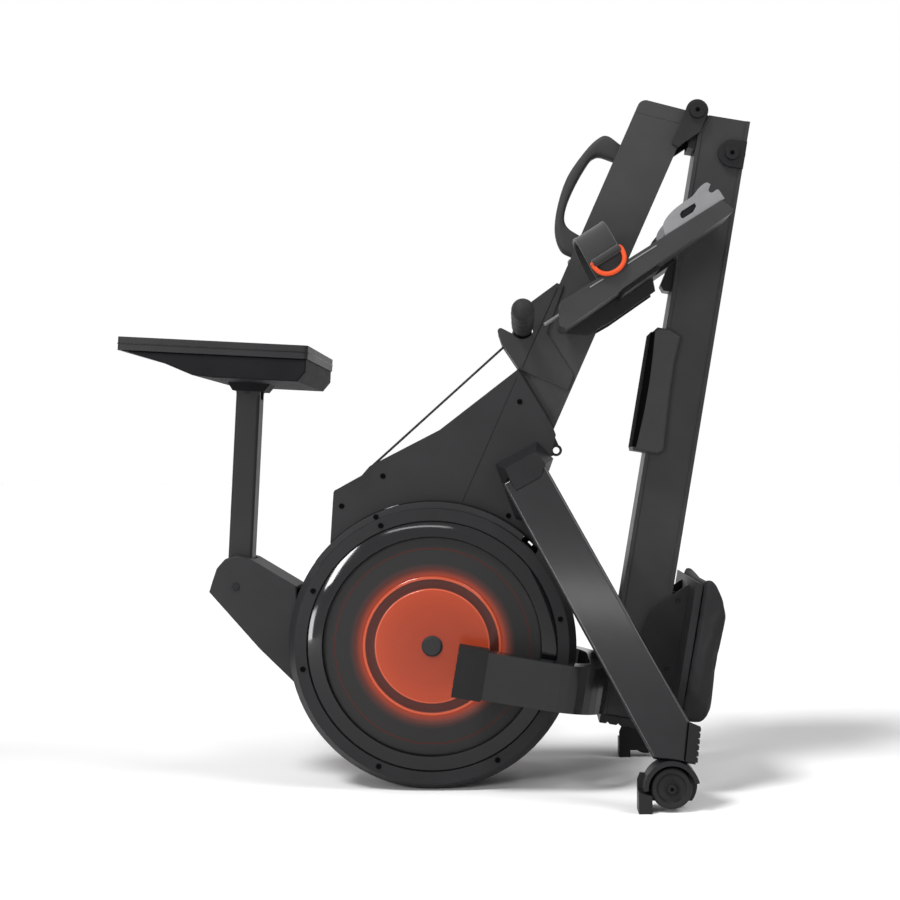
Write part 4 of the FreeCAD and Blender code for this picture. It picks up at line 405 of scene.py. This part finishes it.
def smooth_path(points, steps=8, closed=False):
    """A Catmull-Rom curve through the points."""
    points = [Vector(p) for p in points]
    count = len(points)
    spans = count if closed else count - 1
    path = []
    for i in range(spans):
        if closed:
            a, b, c, d = (points[(i + k) % count] for k in (-1, 0, 1, 2))
        else:
            b, c = points[i], points[i + 1]
            a = points[i - 1] if i else b * 2 - c
            d = points[i + 2] if i + 2 < count else c * 2 - b
        for step in range(steps):
            t = step / steps
            square, cube = 2 * a - 5 * b + 4 * c - d, 3 * b - a - 3 * c + d
            path.append(0.5 * (2 * b + (c - a) * t + square * t**2 + cube * t**3))
    if not closed:
        path.append(points[-1])
    return path


def skin(rings, close_ends=True, close_path=False):
    """Faces that join equal rings of points; returns the vertices and the faces."""
    size = len(rings[0])
    vertices = [p for ring in rings for p in ring]
    faces = []
    spans = len(rings) if close_path else len(rings) - 1
    for i in range(spans):
        a, b = i * size, ((i + 1) % len(rings)) * size
        for k in range(size):
            j = (k + 1) % size
            faces.append((a + k, a + j, b + j, b + k))
    if close_ends and not close_path:
        faces.append(tuple(reversed(range(size))))
        last = (len(rings) - 1) * size
        faces.append(tuple(range(last, last + size)))
    return vertices, faces


def heading(path, i):
    """The direction of a path at its point number i."""
    return (path[min(i + 1, len(path) - 1)] - path[max(i - 1, 0)]).normalized()


def squared(value, power):
    """A sine or cosine pushed towards its ends, which squares a circle off. It keeps its sign."""
    return math.copysign(abs(value) ** power, value)


def tube(name, path, radius, slot, body, sides=20, flat=1.0, side=LEFTWARD):
    """A round or flattened bar along a path. radius is a number or a function of 0 to 1."""
    rings = []
    last = len(path) - 1
    for i, point in enumerate(path):
        run = heading(path, i)
        across = side - run * side.dot(run)
        across = across.normalized() if across.length > 1e-4 else FORWARD
        up = run.cross(across)
        r = radius(i / last) if callable(radius) else radius
        turns = [2 * math.pi * k / sides for k in range(sides)]
        rings.append([point + across * (r * math.cos(t)) + up * (r * flat * math.sin(t)) for t in turns])
    vertices, faces = skin(rings)
    return new_piece(name, vertices, faces, slot, body)


def on_ray(degrees, profile, side):
    """The points of a (radius, distance out) profile, at one angle round the housing's axle."""
    ray = spoke(degrees)
    return [AXLE + ray * r + Vector((0, side * out, 0)) for r, out in profile]


def turned(name, profile, side, slot, steps=160):
    """A ring or dish round the housing's axle, from (radius, distance out) points."""
    rings = [on_ray(360 * i / steps, profile, side) for i in range(steps)]
    vertices, faces = skin(rings, close_path=True)
    return new_piece(name, vertices, faces, slot, "frame", sharp=25)


def cut_plate(name, outline, holes, thickness, to_world, level, slot, body):
    """A flat plate with rounded edges, cut to an outline with holes, lying at one level across."""
    rounding = 0.0006
    curve = bpy.data.curves.new(name, "CURVE")
    curve.dimensions = "2D"
    curve.fill_mode = "BOTH"
    curve.bevel_depth = rounding
    curve.bevel_resolution = 2
    curve.extrude = thickness / 2 - curve.bevel_depth
    for points in [outline] + holes:
        spline = curve.splines.new("POLY")
        spline.points.add(len(points) - 1)
        for point, (x, z) in zip(spline.points, points):
            point.co = (x, z, 0, 1)
        spline.use_cyclic_u = True
    drawn = bpy.data.objects.new(name + "_drawn", curve)
    bpy.context.scene.collection.objects.link(drawn)
    bpy.context.view_layer.update()
    mesh = bpy.data.meshes.new_from_object(drawn.evaluated_get(bpy.context.evaluated_depsgraph_get()))
    bpy.data.objects.remove(drawn)
    bpy.data.curves.remove(curve)
    face_outward(mesh, lambda point: to_world(point.x, level + point.z, point.y))
    return place_piece(name, mesh, slot, body, sharp=35)


# ---------------------------------------------------------------- pieces


def build_lift_grip():
    """The loop grip behind the beam: thick roots, a thinner oval grip and soft edges."""
    # along the beam, out from it
    outer = [(-0.092, 0.0915), (-0.087, 0.117), (-0.098, 0.130), (-0.126, 0.141), (-0.175, 0.1505),
             (-0.225, 0.146), (-0.266, 0.133), (-0.290, 0.112), (-0.293, 0.0915)]
    inner = [(-0.122, 0.0915), (-0.124, 0.114), (-0.130, 0.123), (-0.142, 0.128), (-0.180, 0.1325),
             (-0.216, 0.1325), (-0.240, 0.127), (-0.251, 0.115), (-0.255, 0.0915)]
    outer = smooth_path([(x, 0, z) for x, z in outer], 6)
    inner = smooth_path([(x, 0, z) for x, z in inner], 6)
    half, bulge = 0.014, 0.62
    sides = 20
    rings = []
    for out, into in zip(outer, inner):
        centre, reach = (out + into) / 2, (out - into) / 2
        ring = []
        for k in range(sides):
            t = 2 * math.pi * k / sides
            c, s = math.cos(t), math.sin(t)
            p = centre + reach * squared(c, bulge)
            ring.append(on_beam(p.x, half * squared(s, bulge), p.z))
        rings.append(ring)
    vertices, faces = skin(rings)
    grip = new_piece("lift_grip", vertices, faces, "trim_plastic", "frame")
    refinish(grip, "pale_plastic")
    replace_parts(grip, "lift_handle")


def build_foot_straps():
    """Wide webbing bands that arch over the footplates, with a rolled edge."""
    start, end = 0.066, 0.120
    reach, height, lift, shear = 0.0555, 0.073, 0.0004, 0.006
    # the powers that square the arch off
    power_across, power_up = 0.62, 0.72
    # along the plate, out from the band's middle
    upper = ((start, 0.0), (start + 0.0008, 0.0016), (start + 0.004, 0.0020), (start + 0.007, 0.0013),
             (end - 0.007, 0.0013), (end - 0.004, 0.0020), (end - 0.0008, 0.0016), (end, 0.0))
    profile = list(upper) + [(x, -out - 0.0006) for x, out in reversed(upper)]
    for name, side in SIDES:
        centre = side * PEDAL_MIDDLE
        rings = []
        for share in fractions(44):
            t = math.pi * share
            c, s = math.cos(t), math.sin(t)
            y = reach * squared(c, power_across)
            z = lift + height * s**power_up
            outward = Vector((0, c * height, s * reach)).normalized()
            lean = shear * s
            rings.append(
                [on_pedal(x + lean, centre + y + outward.y * out, z + outward.z * out) for x, out in profile]
            )
        vertices, faces = skin(rings)
        strap = new_piece(f"foot_strap_{name}", vertices, faces, "webbing", "frame")
        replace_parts(strap, "foot_straps")


def build_strap_rings():
    """D-rings of orange wire on the outer side of each strap, with their webbing tab."""
    reach, wire, tab = 0.0605, 0.0036, 0.0062
    left, right, top, drop, flare = 0.072, 0.122, 0.020, 0.026, 0.22
    for name, side in SIDES:
        level = side * (PEDAL_MIDDLE + reach)
        centre, half = (left + right) / 2, (right - left) / 2
        bow = []
        for share in fractions(16):
            t = math.pi * share
            x = centre - half * math.cos(t)
            down = drop * math.sin(t) ** 0.8
            bow.append(on_pedal(x, level + side * flare * down, top - down))
        bar = [on_pedal(x, level, top + 0.003) for x in (right - 0.004, left + 0.004)]
        path = smooth_path(bow + bar, 3, closed=True)
        ring = tube(f"strap_ring_{name}", path, wire, "orange_ring", "frame", 14)
        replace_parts(ring, "strap_rings")
        tab_path = [on_pedal(x, level, top + 0.002) for x in (left + 0.001, centre, right - 0.001)]
        tube(f"ring_tab_{name}", smooth_path(tab_path, 6), tab, "webbing", "frame", 16)


def build_handle():
    """The pull handle: a bent bar with shaped grips and a strap yoke."""
    centre = middle("handle_bar")
    reach, bar_half, grip_root = 0.240, 0.2, 0.088
    straight, curved, rise, drop = 0.05, 0.19, 0.013, 0.002
    rod_radius, grip_radius, yoke_half = 0.0115, 0.0168, 0.021

    def bend(y):
        t = min(1, max(0, (abs(y) - straight) / curved))
        return rise * t * t * (3 - 2 * t) - drop

    def point(y):
        return Vector((centre.x, y, centre.z + bend(y)))

    bar = [point(bar_half * (2 * t - 1)) for t in fractions(40)]
    rod = tube("handle_rod", bar, rod_radius, "frame_paint", "handle", 20, side=FORWARD)
    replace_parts(rod, "handle_bar")
    yoke = [Vector((centre.x, yoke_half * (2 * t - 1), centre.z - drop)) for t in fractions(12)]

    def yoke_radius(t):
        return 0.0158 - 0.0015 * abs(2 * t - 1) ** 6

    tube("handle_yoke", yoke, yoke_radius, "trim_plastic", "handle", 24, side=FORWARD)
    for name, side in SIDES:
        path = [point(side * (grip_root + (reach - grip_root) * t)) for t in fractions(60)]

        def radius(t):
            """From the root to the domed end, with swells between the fingers."""
            end = max(0.0, (t - 0.86) / 0.14)
            dome = math.sqrt(max(0.0, 1 - end**2.6))
            root = min(1.0, 0.72 + t * 9)
            finger = 0.0007 * math.cos(t * math.pi * 9) if t < 0.84 else 0
            return max(0.0008, (grip_radius + finger + 0.0007 * t) * root * dome)

        grip = tube(f"grip_{name}", path, radius, "grip_foam", "handle", 28, side=FORWARD)
        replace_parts(grip, "handle_grips")


def build_pull_strap():
    """The flat drive strap, from the reel's drum round the guide bar to the handle's yoke."""
    yoke = middle("handle_bar")
    guide = middle("strap_guide")
    run = (yoke - guide).normalized()
    out = Vector((-run.z, 0, run.x))
    bar_reach, yoke_reach, drum_reach = 0.0066, 0.0165, 0.0235
    start = guide + out * bar_reach
    end = yoke - run * yoke_reach + out * 0.0004
    half_wide, half_thick = 0.011, 0.0013
    # shares of the half width and of the half thickness
    section = ((-1, -0.6), (-0.94, -1), (0.94, -1), (1, -0.6), (1, 0.6), (0.94, 1), (-0.94, 1), (-1, 0.6))
    wrap = [guide + spoke(degrees) * bar_reach for degrees in (262, 240, 215, 190, 165)]
    tail = middle("strap_reel") - Vector((0, 0, drum_reach))
    points = [tail, tail.lerp(wrap[0], 0.5)] + wrap + [start.lerp(end, t) for t in fractions(40)]
    rings = []
    for i, p in enumerate(points):
        direction = heading(points, i)
        normal = Vector((-direction.z, 0, direction.x))
        rings.append([p + Vector((0, y * half_wide, 0)) + normal * (n * half_thick) for y, n in section])
    vertices, faces = skin(rings)
    strap = new_piece("pull_strap", vertices, faces, "webbing", None)
    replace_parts(strap, "drive_strap")
    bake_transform(strap)


def apply_modifier(piece, name, kind, **values):
    """Adds a modifier to the active object, sets its values and applies it."""
    modifier = piece.modifiers.new(name, kind)
    for key, value in values.items():
        setattr(modifier, key, value)
    bpy.ops.object.modifier_apply(modifier=name)


def channel_seat_pad(pad):
    """Presses the two shallow hollows and the middle relief into the sitting side."""
    along = on_rail(1, 0, 0) - on_rail(0, 0, 0)
    out = on_rail(0, 0, 1) - on_rail(0, 0, 0)
    crown, fade = -0.145, 0.01
    bowl_y, bowl_x, bowl_half_y, bowl_half_x, bowl_depth = 0.068, -0.850, 0.042, 0.070, 0.0045
    slot_from, slot_to, slot_half, slot_depth = -0.93, -0.83, 0.010, 0.003
    for vertex in pad.data.vertices:
        local = vertex.co - HINGE
        x, y, z = local.dot(along), local.y, local.dot(out)
        if z > crown:
            continue
        share = min(1, (crown - z) / fade)
        bowl = math.exp(-(((abs(y) - bowl_y) / bowl_half_y) ** 2) - ((x - bowl_x) / bowl_half_x) ** 2)
        slot = math.exp(-((y / slot_half) ** 2)) * (slot_from < x < slot_to)
        vertex.co += out * share * (bowl_depth * bowl + slot_depth * slot)


def inflate(pad):
    """Lets air pressure swell the pad's skin as a cloth."""
    frames = 20
    swell = pad.modifiers.new("swell", "CLOTH")
    settings = swell.settings
    settings.use_pressure = True
    settings.uniform_pressure_force = 4.0
    settings.tension_stiffness = 25
    settings.compression_stiffness = 25
    settings.effector_weights.gravity = 0.0
    swell.point_cache.frame_start = 1
    swell.point_cache.frame_end = frames
    for number in range(1, frames + 1):
        bpy.context.scene.frame_set(number)
    bpy.ops.object.modifier_apply(modifier="swell")
    bpy.context.scene.frame_set(1)


def hold_seat_pad(pad, before):
    """Caps how far the skin has moved out and presses the flat side back onto the pan."""
    cap, flat_side = 0.007, -0.1213
    out = on_rail(0, 0, 1) - on_rail(0, 0, 0)
    base = HINGE.dot(out) + flat_side
    for vertex, start in zip(pad.data.vertices, before):
        step = vertex.co - start
        if step.length > cap:
            vertex.co = start + step * (cap / step.length)
        above = vertex.co.dot(out) - base
        if above > 0:
            vertex.co -= out * above


def build_seat_pad():
    """The seat: a foam pad whose skin is drawn in at the base and crowned above it."""
    shrink = 0.972
    mesh = bpy.data.meshes.new("seat_pad")
    work = bmesh.new()
    work.from_mesh(NODES["seat_cushion"].data)
    bmesh.ops.remove_doubles(work, verts=work.verts, dist=1e-5)
    centre = sum((v.co for v in work.verts), Vector()) / len(work.verts)
    for v in work.verts:
        v.co = centre + (v.co - centre) * shrink
    bmesh.ops.dissolve_limit(work, angle_limit=math.radians(2), verts=work.verts, edges=work.edges)
    work.to_mesh(mesh)
    work.free()
    pad = bpy.data.objects.new("seat_pad", mesh)
    bpy.context.scene.collection.objects.link(pad)
    bpy.context.view_layer.objects.active = pad
    pad.select_set(True)
    corner = math.radians(35)
    apply_modifier(pad, "round", "BEVEL", width=0.016, segments=4, limit_method="ANGLE", angle_limit=corner)
    apply_modifier(pad, "grid", "REMESH", mode="VOXEL", voxel_size=0.005)
    before = [v.co.copy() for v in pad.data.vertices]
    inflate(pad)
    hold_seat_pad(pad, before)
    channel_seat_pad(pad)
    apply_modifier(pad, "finer", "SUBSURF", levels=1, render_levels=1)
    pad.data.materials.clear()
    pad.data.materials.append(MATERIALS["seat_cover"])
    pad.data.shade_smooth()
    pad.select_set(False)
    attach(pad, "seat")
    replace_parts(pad, "seat_cushion")


def build_beads():
    """Fine moulded lines: the beam's edge carried down the covers and the saddle, and the shoulder's gap."""
    # kind, distance across, distance out from the beam, stations along it, radius
    creases = (
        ("cover_crease", COVER_HALF - 0.0002, 0.093, (-0.512, -0.60, -0.735), 0.0010),
        ("saddle_crease", 0.0423, 0.0915, (-0.352, -0.42, -0.494), 0.0009),
    )
    shoulder, gap_radius = 0.0545, 0.0032
    for name, side in SIDES:
        for kind, level, out, stations, radius in creases:
            line = smooth_path([on_beam(x, side * level, out) for x in stations], 6)
            tube(f"{kind}_{name}", line, radius, "trim_plastic", "frame", 8)
        edge = [Vector((0.1205, side * shoulder, 0.6715)), Vector((0.1763, side * shoulder, 0.579))]
        tube(f"cover_gap_{name}", smooth_path(edge, 4), gap_radius, "dark_steel", "frame", 10)


def build_heel_cups():
    """Heel rests: swept side walls with a finger slot and a notched tip, and a curved back. A dark plate
    behind each finger slot is painted shade seen through it.
    """
    # up the plate, above it
    rise = [(0.1830, 0.0006), (0.1872, 0.0135), (0.1960, 0.0210), (0.2120, 0.0262), (0.2300, 0.0280),
            (0.2440, 0.0285), (0.2560, 0.0330), (0.2655, 0.0352), (0.2712, 0.0345)]
    end = [(0.2738, 0.0300), (0.2700, 0.0268), (0.2668, 0.0232), (0.2676, 0.0188), (0.2712, 0.0168),
           (0.2762, 0.0172), (0.2794, 0.0150), (0.2798, 0.0006)]

    def shift(x):
        """The outline was drawn for a shorter cup: moves it up the plate and lengthens it."""
        return 0.190 + (x - 0.183) * 1.09

    sweep = [(shift(p.x), p.z) for p in smooth_path([(x, 0, z) for x, z in rise], 4)]
    tip = [(shift(p.x), p.z) for p in smooth_path([(x, 0, z) for x, z in end], 4)]
    window = [(0.2140, 0.0105), (0.2155, 0.0160), (0.2200, 0.0190), (0.2420, 0.0190), (0.2420, 0.0130),
              (0.2330, 0.0075), (0.2160, 0.0075)]
    window = [(shift(x), z) for x, z in window]
    low, high, wall_thickness, shade_plate_thickness = 0.0625, 0.1795, 0.005, 0.0014
    runner_level, runner_radius = -0.0125, 0.0046
    for name, side in SIDES:
        body = f"heel_{name}"
        node = f"heel_cup_{name}"
        for part, level in (("outer", high - wall_thickness / 2), ("inner", low + wall_thickness / 2)):
            plate = f"heel_wall_{part}_{name}"
            outline, place = sweep + tip, side * level
            wall = cut_plate(plate, outline, [window], wall_thickness, on_pedal, place, "light_grey", body)
            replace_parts(wall, node)
        first, last = shift(0.2125), shift(0.2440)
        # a dark plate behind the finger slot: painted shade seen through it
        panel = [(first, 0.006), (last, 0.006), (last, 0.0205), (first, 0.0205)]
        depth = side * (high - 0.0062)
        plate = f"heel_window_{name}"
        painted_shade_plate = cut_plate(plate, panel, [], shade_plate_thickness, on_pedal, depth, "dark_steel", body)
        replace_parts(painted_shade_plate, node)
        shell = []
        for share in fractions(24):
            t = 2 * share - 1
            y = side * ((low + high) / 2 + t * ((high - low) / 2 - 0.004))
            scoop = 1 - abs(t) ** 3
            back = [(0.1850, 0.0008), (0.2700 + 0.006 * scoop, 0.0008), (0.2790, 0.0140),
                    (0.2790, 0.0175 - 0.004 * scoop), (0.2735, 0.0160 - 0.004 * scoop),
                    (0.2660, 0.0050), (0.1860, 0.0045)]
            shell.append([on_pedal(shift(x), y, z) for x, z in back])
        vertices, faces = skin(shell)
        pan = new_piece(f"heel_pan_{name}", vertices, faces, "light_grey", body)
        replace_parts(pan, node)
        tongue = [on_pedal(x, side * PEDAL_MIDDLE, runner_level) for x in (-0.035, 0.05, 0.13, 0.25)]
        runner = tube(f"heel_runner_{name}", tongue, runner_radius, "light_grey", body, 16, flat=0.6)
        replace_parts(runner, node)


def build_footbed_edges():
    """The pale line of the footbed that shows along the top of each footplate's rim."""
    across, level, radius = 0.1813, -0.0055, 0.0011
    stretches = ((0.050, 0.075), (0.118, 0.170))
    for name, side in SIDES:
        for index, (first, last) in enumerate(stretches):
            path = [on_pedal(x, side * across, level) for x in (first, (first + last) / 2, last)]
            tube(f"footbed_edge_{index}_{name}", path, radius, "light_grey", "frame", 10)


def build_cover_lip():
    """The cover's raised lip where it meets the housing's rim, with its two screw holes in near-black,
    painted shade.
    """
    section = ((0.2186, 0.0600), (0.2186, 0.0792), (0.2192, 0.0800), (0.2284, 0.0800),
               (0.2292, 0.0792), (0.2292, 0.0600))
    first, last = 50, 144
    # angle, distance from the axle, distance out
    screws = ((113.5, 0.2238, 0.0802), (59.6, 0.2395, 0.0601))
    screw_radius, screw_height = 0.0042, 0.0007
    for name, side in SIDES:
        rings = [on_ray(first + (last - first) * share, section, side) for share in fractions(60)]
        vertices, faces = skin(rings)
        new_piece(f"cover_lip_{name}", vertices, faces, "cover_plastic", "frame", sharp=25)
        for index, (degrees, reach, level) in enumerate(screws):
            (centre,) = on_ray(degrees, [(reach, level)], side)
            path = [centre, centre + Vector((0, side * screw_height, 0))]
            plug = f"lip_screw_{index}_{name}"
            screw = tube(plug, path, screw_radius, "dark_steel", "frame", 20, side=FORWARD)
            # screw hole in near-black: painted shade inside it
            refinish(screw, "painted_shade_black")


def build_rim_slots():
    """The row of vent slots round the housing's rear edge, as near-black strips: painted shade in the
    openings.
    """
    count, first, pitch, level, half_wide = 24, 48, 5.1, 0.0618, 0.0030
    profile = [(reach, level) for reach in (0.2195, 0.2215, 0.2250, 0.2280)]
    for name, side in SIDES:
        for number in range(count):
            degrees = first - pitch * number
            ray = spoke(degrees)
            across = Vector((-ray.z, 0, ray.x))
            path = on_ray(degrees, profile, side)
            vent = f"rim_slot_{number}_{name}"
            slot = tube(vent, path, half_wide, "dark_steel", "frame", 12, flat=0.25, side=across)
            # near-black strip: painted shade in the vent opening
            refinish(slot, "painted_shade_black")


def build_console_seam():
    """The seam between the console's back and its screen frame."""
    on_console = leaning(middle("tilt_pin"), math.radians(-2.8))
    left, right, half, height, cut, radius = -0.1799, 0.1131, 0.1602, 0.0565, 0.004, 0.0008
    loop = [(left + cut, -half), (right - cut, -half), (right, -half + cut), (right, half - cut),
            (right - cut, half), (left + cut, half), (left, half - cut), (left, -half + cut)]
    corners = [on_console(x, y, height) for x, y in loop]
    path = []
    for a, b in zip(corners, corners[1:] + corners[:1]):
        path += [a.lerp(b, i / 6) for i in range(6)]
    path.append(corners[0])
    up = on_console(0, 0, 1) - on_console(0, 0, 0)
    tube("console_seam", path, radius, "dark_steel", "console", 8, side=up)


def build_housing_faces():
    """The sloped piano-black ring and the shallow dome of the lens, on both sides."""
    # distance from the axle, distance out
    ring = [(0.1740, 0.0765), (0.1740, 0.0854), (0.1744, 0.0860), (0.1752, 0.0861), (0.1974, 0.0800),
            (0.1980, 0.0794), (0.1980, 0.0765)]
    lens = [(0.0167, 0.0728), (0.0167, 0.0797)]
    lens += [(r / 1000, 0.0798 - 0.0014 * (r / 90) ** 2) for r in (22, 30, 40, 50, 60, 70, 80, 87, 89.4)]
    lens += [(0.0903, 0.0778), (0.0912, 0.0775), (0.1050, 0.0775), (0.1058, 0.0778), (0.1064, 0.0786),
             (0.1072, 0.0789), (0.1096, 0.0788), (0.1106, 0.0781), (0.1110, 0.0728)]
    for name, side in SIDES:
        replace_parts(turned(f"gloss_ring_{name}", ring, side, "gloss_black"), "gloss_rings")
        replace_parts(turned(f"glow_lens_{name}", lens, side, "orange_lens"), "glow_lenses")


def build_sockets():
    """Hexagon sockets in the fold pin, the latch bolts and the wheel bolts, near-black: painted shade inside
    them.
    """
    # node, where it is seen from the side, radius, body
    spots = (
        ("hinge_pin", HINGE, 0.0040, "frame"),
        ("rail_latch", on_rail(-0.0586, 0, -0.0664), 0.0040, "rail"),
        ("wheel_bolts", middle("wheel_near"), 0.0030, "frame"),
    )
    sunk, proud = 0.0006, 0.0003
    for node, centre, radius, body in spots:
        low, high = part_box(node)
        for name, side in SIDES:
            face = Vector((centre.x, high.y if side > 0 else low.y, centre.z))
            path = [face - Vector((0, side * sunk, 0)), face + Vector((0, side * proud, 0))]
            socket = tube(f"{node}_socket_{name}", path, radius, "rubber", body, 6, side=FORWARD)
            # near-black socket: painted shade inside the hex hole
            refinish(socket, "painted_shade_black")


def build_grip_recess():
    """The hand recess down the front of the rail's grip cover, as a near-black shell just off the cover:
    painted shade in the recess.
    """
    stand_off, corner, sheet = 0.0005, 0.0055, 0.0012
    first, length, ends_depth, extra_depth = -0.5515, 0.1875, 0.0062, 0.0042
    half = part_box("rail_grip_cover")[1].y + stand_off
    roof = 0.015 + stand_off
    rings = []
    for t in fractions(30):
        x = first + length * t
        depth = ends_depth + extra_depth * math.sin(math.pi * t)
        near_edge = [(half, roof - depth)]
        for share in fractions(6):
            turn = math.radians(90 * share)
            c, s = math.cos(turn), math.sin(turn)
            near_edge.append((half - corner + corner * c, roof - corner + corner * s))
        outer = near_edge + [(-y, z) for y, z in reversed(near_edge)]
        lips = (0, len(outer) - 1)
        inner = [(y * (half - sheet) / half, z - sheet * (k not in lips)) for k, (y, z) in enumerate(outer)]
        rings.append([on_rail(x, y, z) for y, z in outer + inner[::-1]])
    vertices, faces = skin(rings)
    # a near-black shell over the cover: painted shade in the hand recess
    painted_shade_shell = new_piece("grip_recess", vertices, faces, "trim_plastic", "rail", sharp=30)
    refinish(painted_shade_shell, "painted_shade_black")


# ---------------------------------------------------------------- stage, lights and camera


def build_stage():
    """The white floor."""
    size = 40
    vertices = [(-size, -size, 0), (size, -size, 0), (size, size, 0), (-size, size, 0)]
    mesh = bpy.data.meshes.new("floor")
    mesh.from_pydata(vertices, [], [(0, 1, 2, 3)])
    floor = bpy.data.objects.new("floor", mesh)
    bpy.context.scene.collection.objects.link(floor)
    n = Nodes("floor_paint")
    n.set(Roughness=0.7, Specular_IOR_Level=0.1)
    pale = n.ramp(n.noise(scale=2, detail=2), [(0.0, (0.90, 0.90, 0.90, 1)), (1.0, (0.93, 0.93, 0.93, 1))])
    n.link(pale, n.shader.inputs["Base Color"])
    mesh.materials.append(n.material)


def aim(lamp, place, target):
    """Puts a lamp at a place, facing a target."""
    lamp.location = place
    lamp.rotation_euler = (Vector(target) - Vector(place)).to_track_quat("-Z", "Y").to_euler()
    bpy.context.scene.collection.objects.link(lamp)


def add_panel(name, place, target, size, power):
    data = bpy.data.lights.new(name, "AREA")
    data.shape = "RECTANGLE"
    data.size, data.size_y = size
    data.energy = power
    aim(bpy.data.objects.new(name, data), place, target)


def add_sun(name, place, strength, spread):
    data = bpy.data.lights.new(name, "SUN")
    data.energy = strength
    data.angle = math.radians(spread)
    aim(bpy.data.objects.new(name, data), place, (0, 0, 0))


def light_scene():
    """White surroundings, a soft key from the upper left, and panels for the glossy parts."""
    ambient = 0.26
    scene = bpy.context.scene
    world = bpy.data.worlds.new("studio")
    scene.world = world
    world.use_nodes = True
    tree = world.node_tree
    backdrop = tree.nodes["Background"]
    backdrop.inputs["Color"].default_value = (1, 1, 1, 1)
    rays = tree.nodes.new("ShaderNodeLightPath")
    seen = rays.outputs["Is Camera Ray"]
    for kind in ("Is Glossy Ray", "Is Transmission Ray"):
        either = tree.nodes.new("ShaderNodeMath")
        either.operation = "MAXIMUM"
        tree.links.new(seen, either.inputs[0])
        tree.links.new(rays.outputs[kind], either.inputs[1])
        seen = either.outputs[0]
    level = tree.nodes.new("ShaderNodeMapRange")
    level.inputs["To Min"].default_value = ambient
    tree.links.new(seen, level.inputs["Value"])
    tree.links.new(level.outputs["Result"], backdrop.inputs["Strength"])
    add_sun("key", (-1.6, -1.8, 3.4), 2.3, 14)
    add_sun("fill", (2.2, -1.2, 3.0), 1.2, 26)
    axle = tuple(AXLE)
    add_panel("ring_panel", (-1.45, -2.5, 1.02), axle, (0.30, 0.75), 26)
    add_panel("side_panel", (-1.75, -2.3, 0.15), axle, (0.30, 0.5), 9)
    add_panel("top_panel", (0.62, -2.5, 1.85), axle, (0.45, 0.25), 2.5)
    add_panel("leg_panel", (-0.33, -2.36, 1.35), (0.24, -0.15, 0.30), (0.8, 0.10), 2.6)
    scene.view_settings.view_transform = "Standard"


def add_camera():
    """A level camera square to the machine's side, as in the photo."""
    data = bpy.data.cameras.new("camera")
    data.sensor_width = 36
    data.lens = 60.98
    data.shift_x, data.shift_y = -0.0756, 0.0178
    data.clip_end = 60
    camera = bpy.data.objects.new("camera", data)
    camera.location = (0.12055, -2.5, 0.5161)
    camera.rotation_euler = (math.radians(90), 0, 0)
    bpy.context.scene.collection.objects.link(camera)
    bpy.context.scene.camera = camera


dress_nodes()
build_lift_grip()
build_foot_straps()
build_strap_rings()
build_handle()
build_pull_strap()
build_seat_pad()
build_heel_cups()
build_footbed_edges()
build_cover_lip()
build_rim_slots()
build_console_seam()
build_housing_faces()
build_beads()
build_sockets()
build_grip_recess()
build_stage()
light_scene()
add_camera()
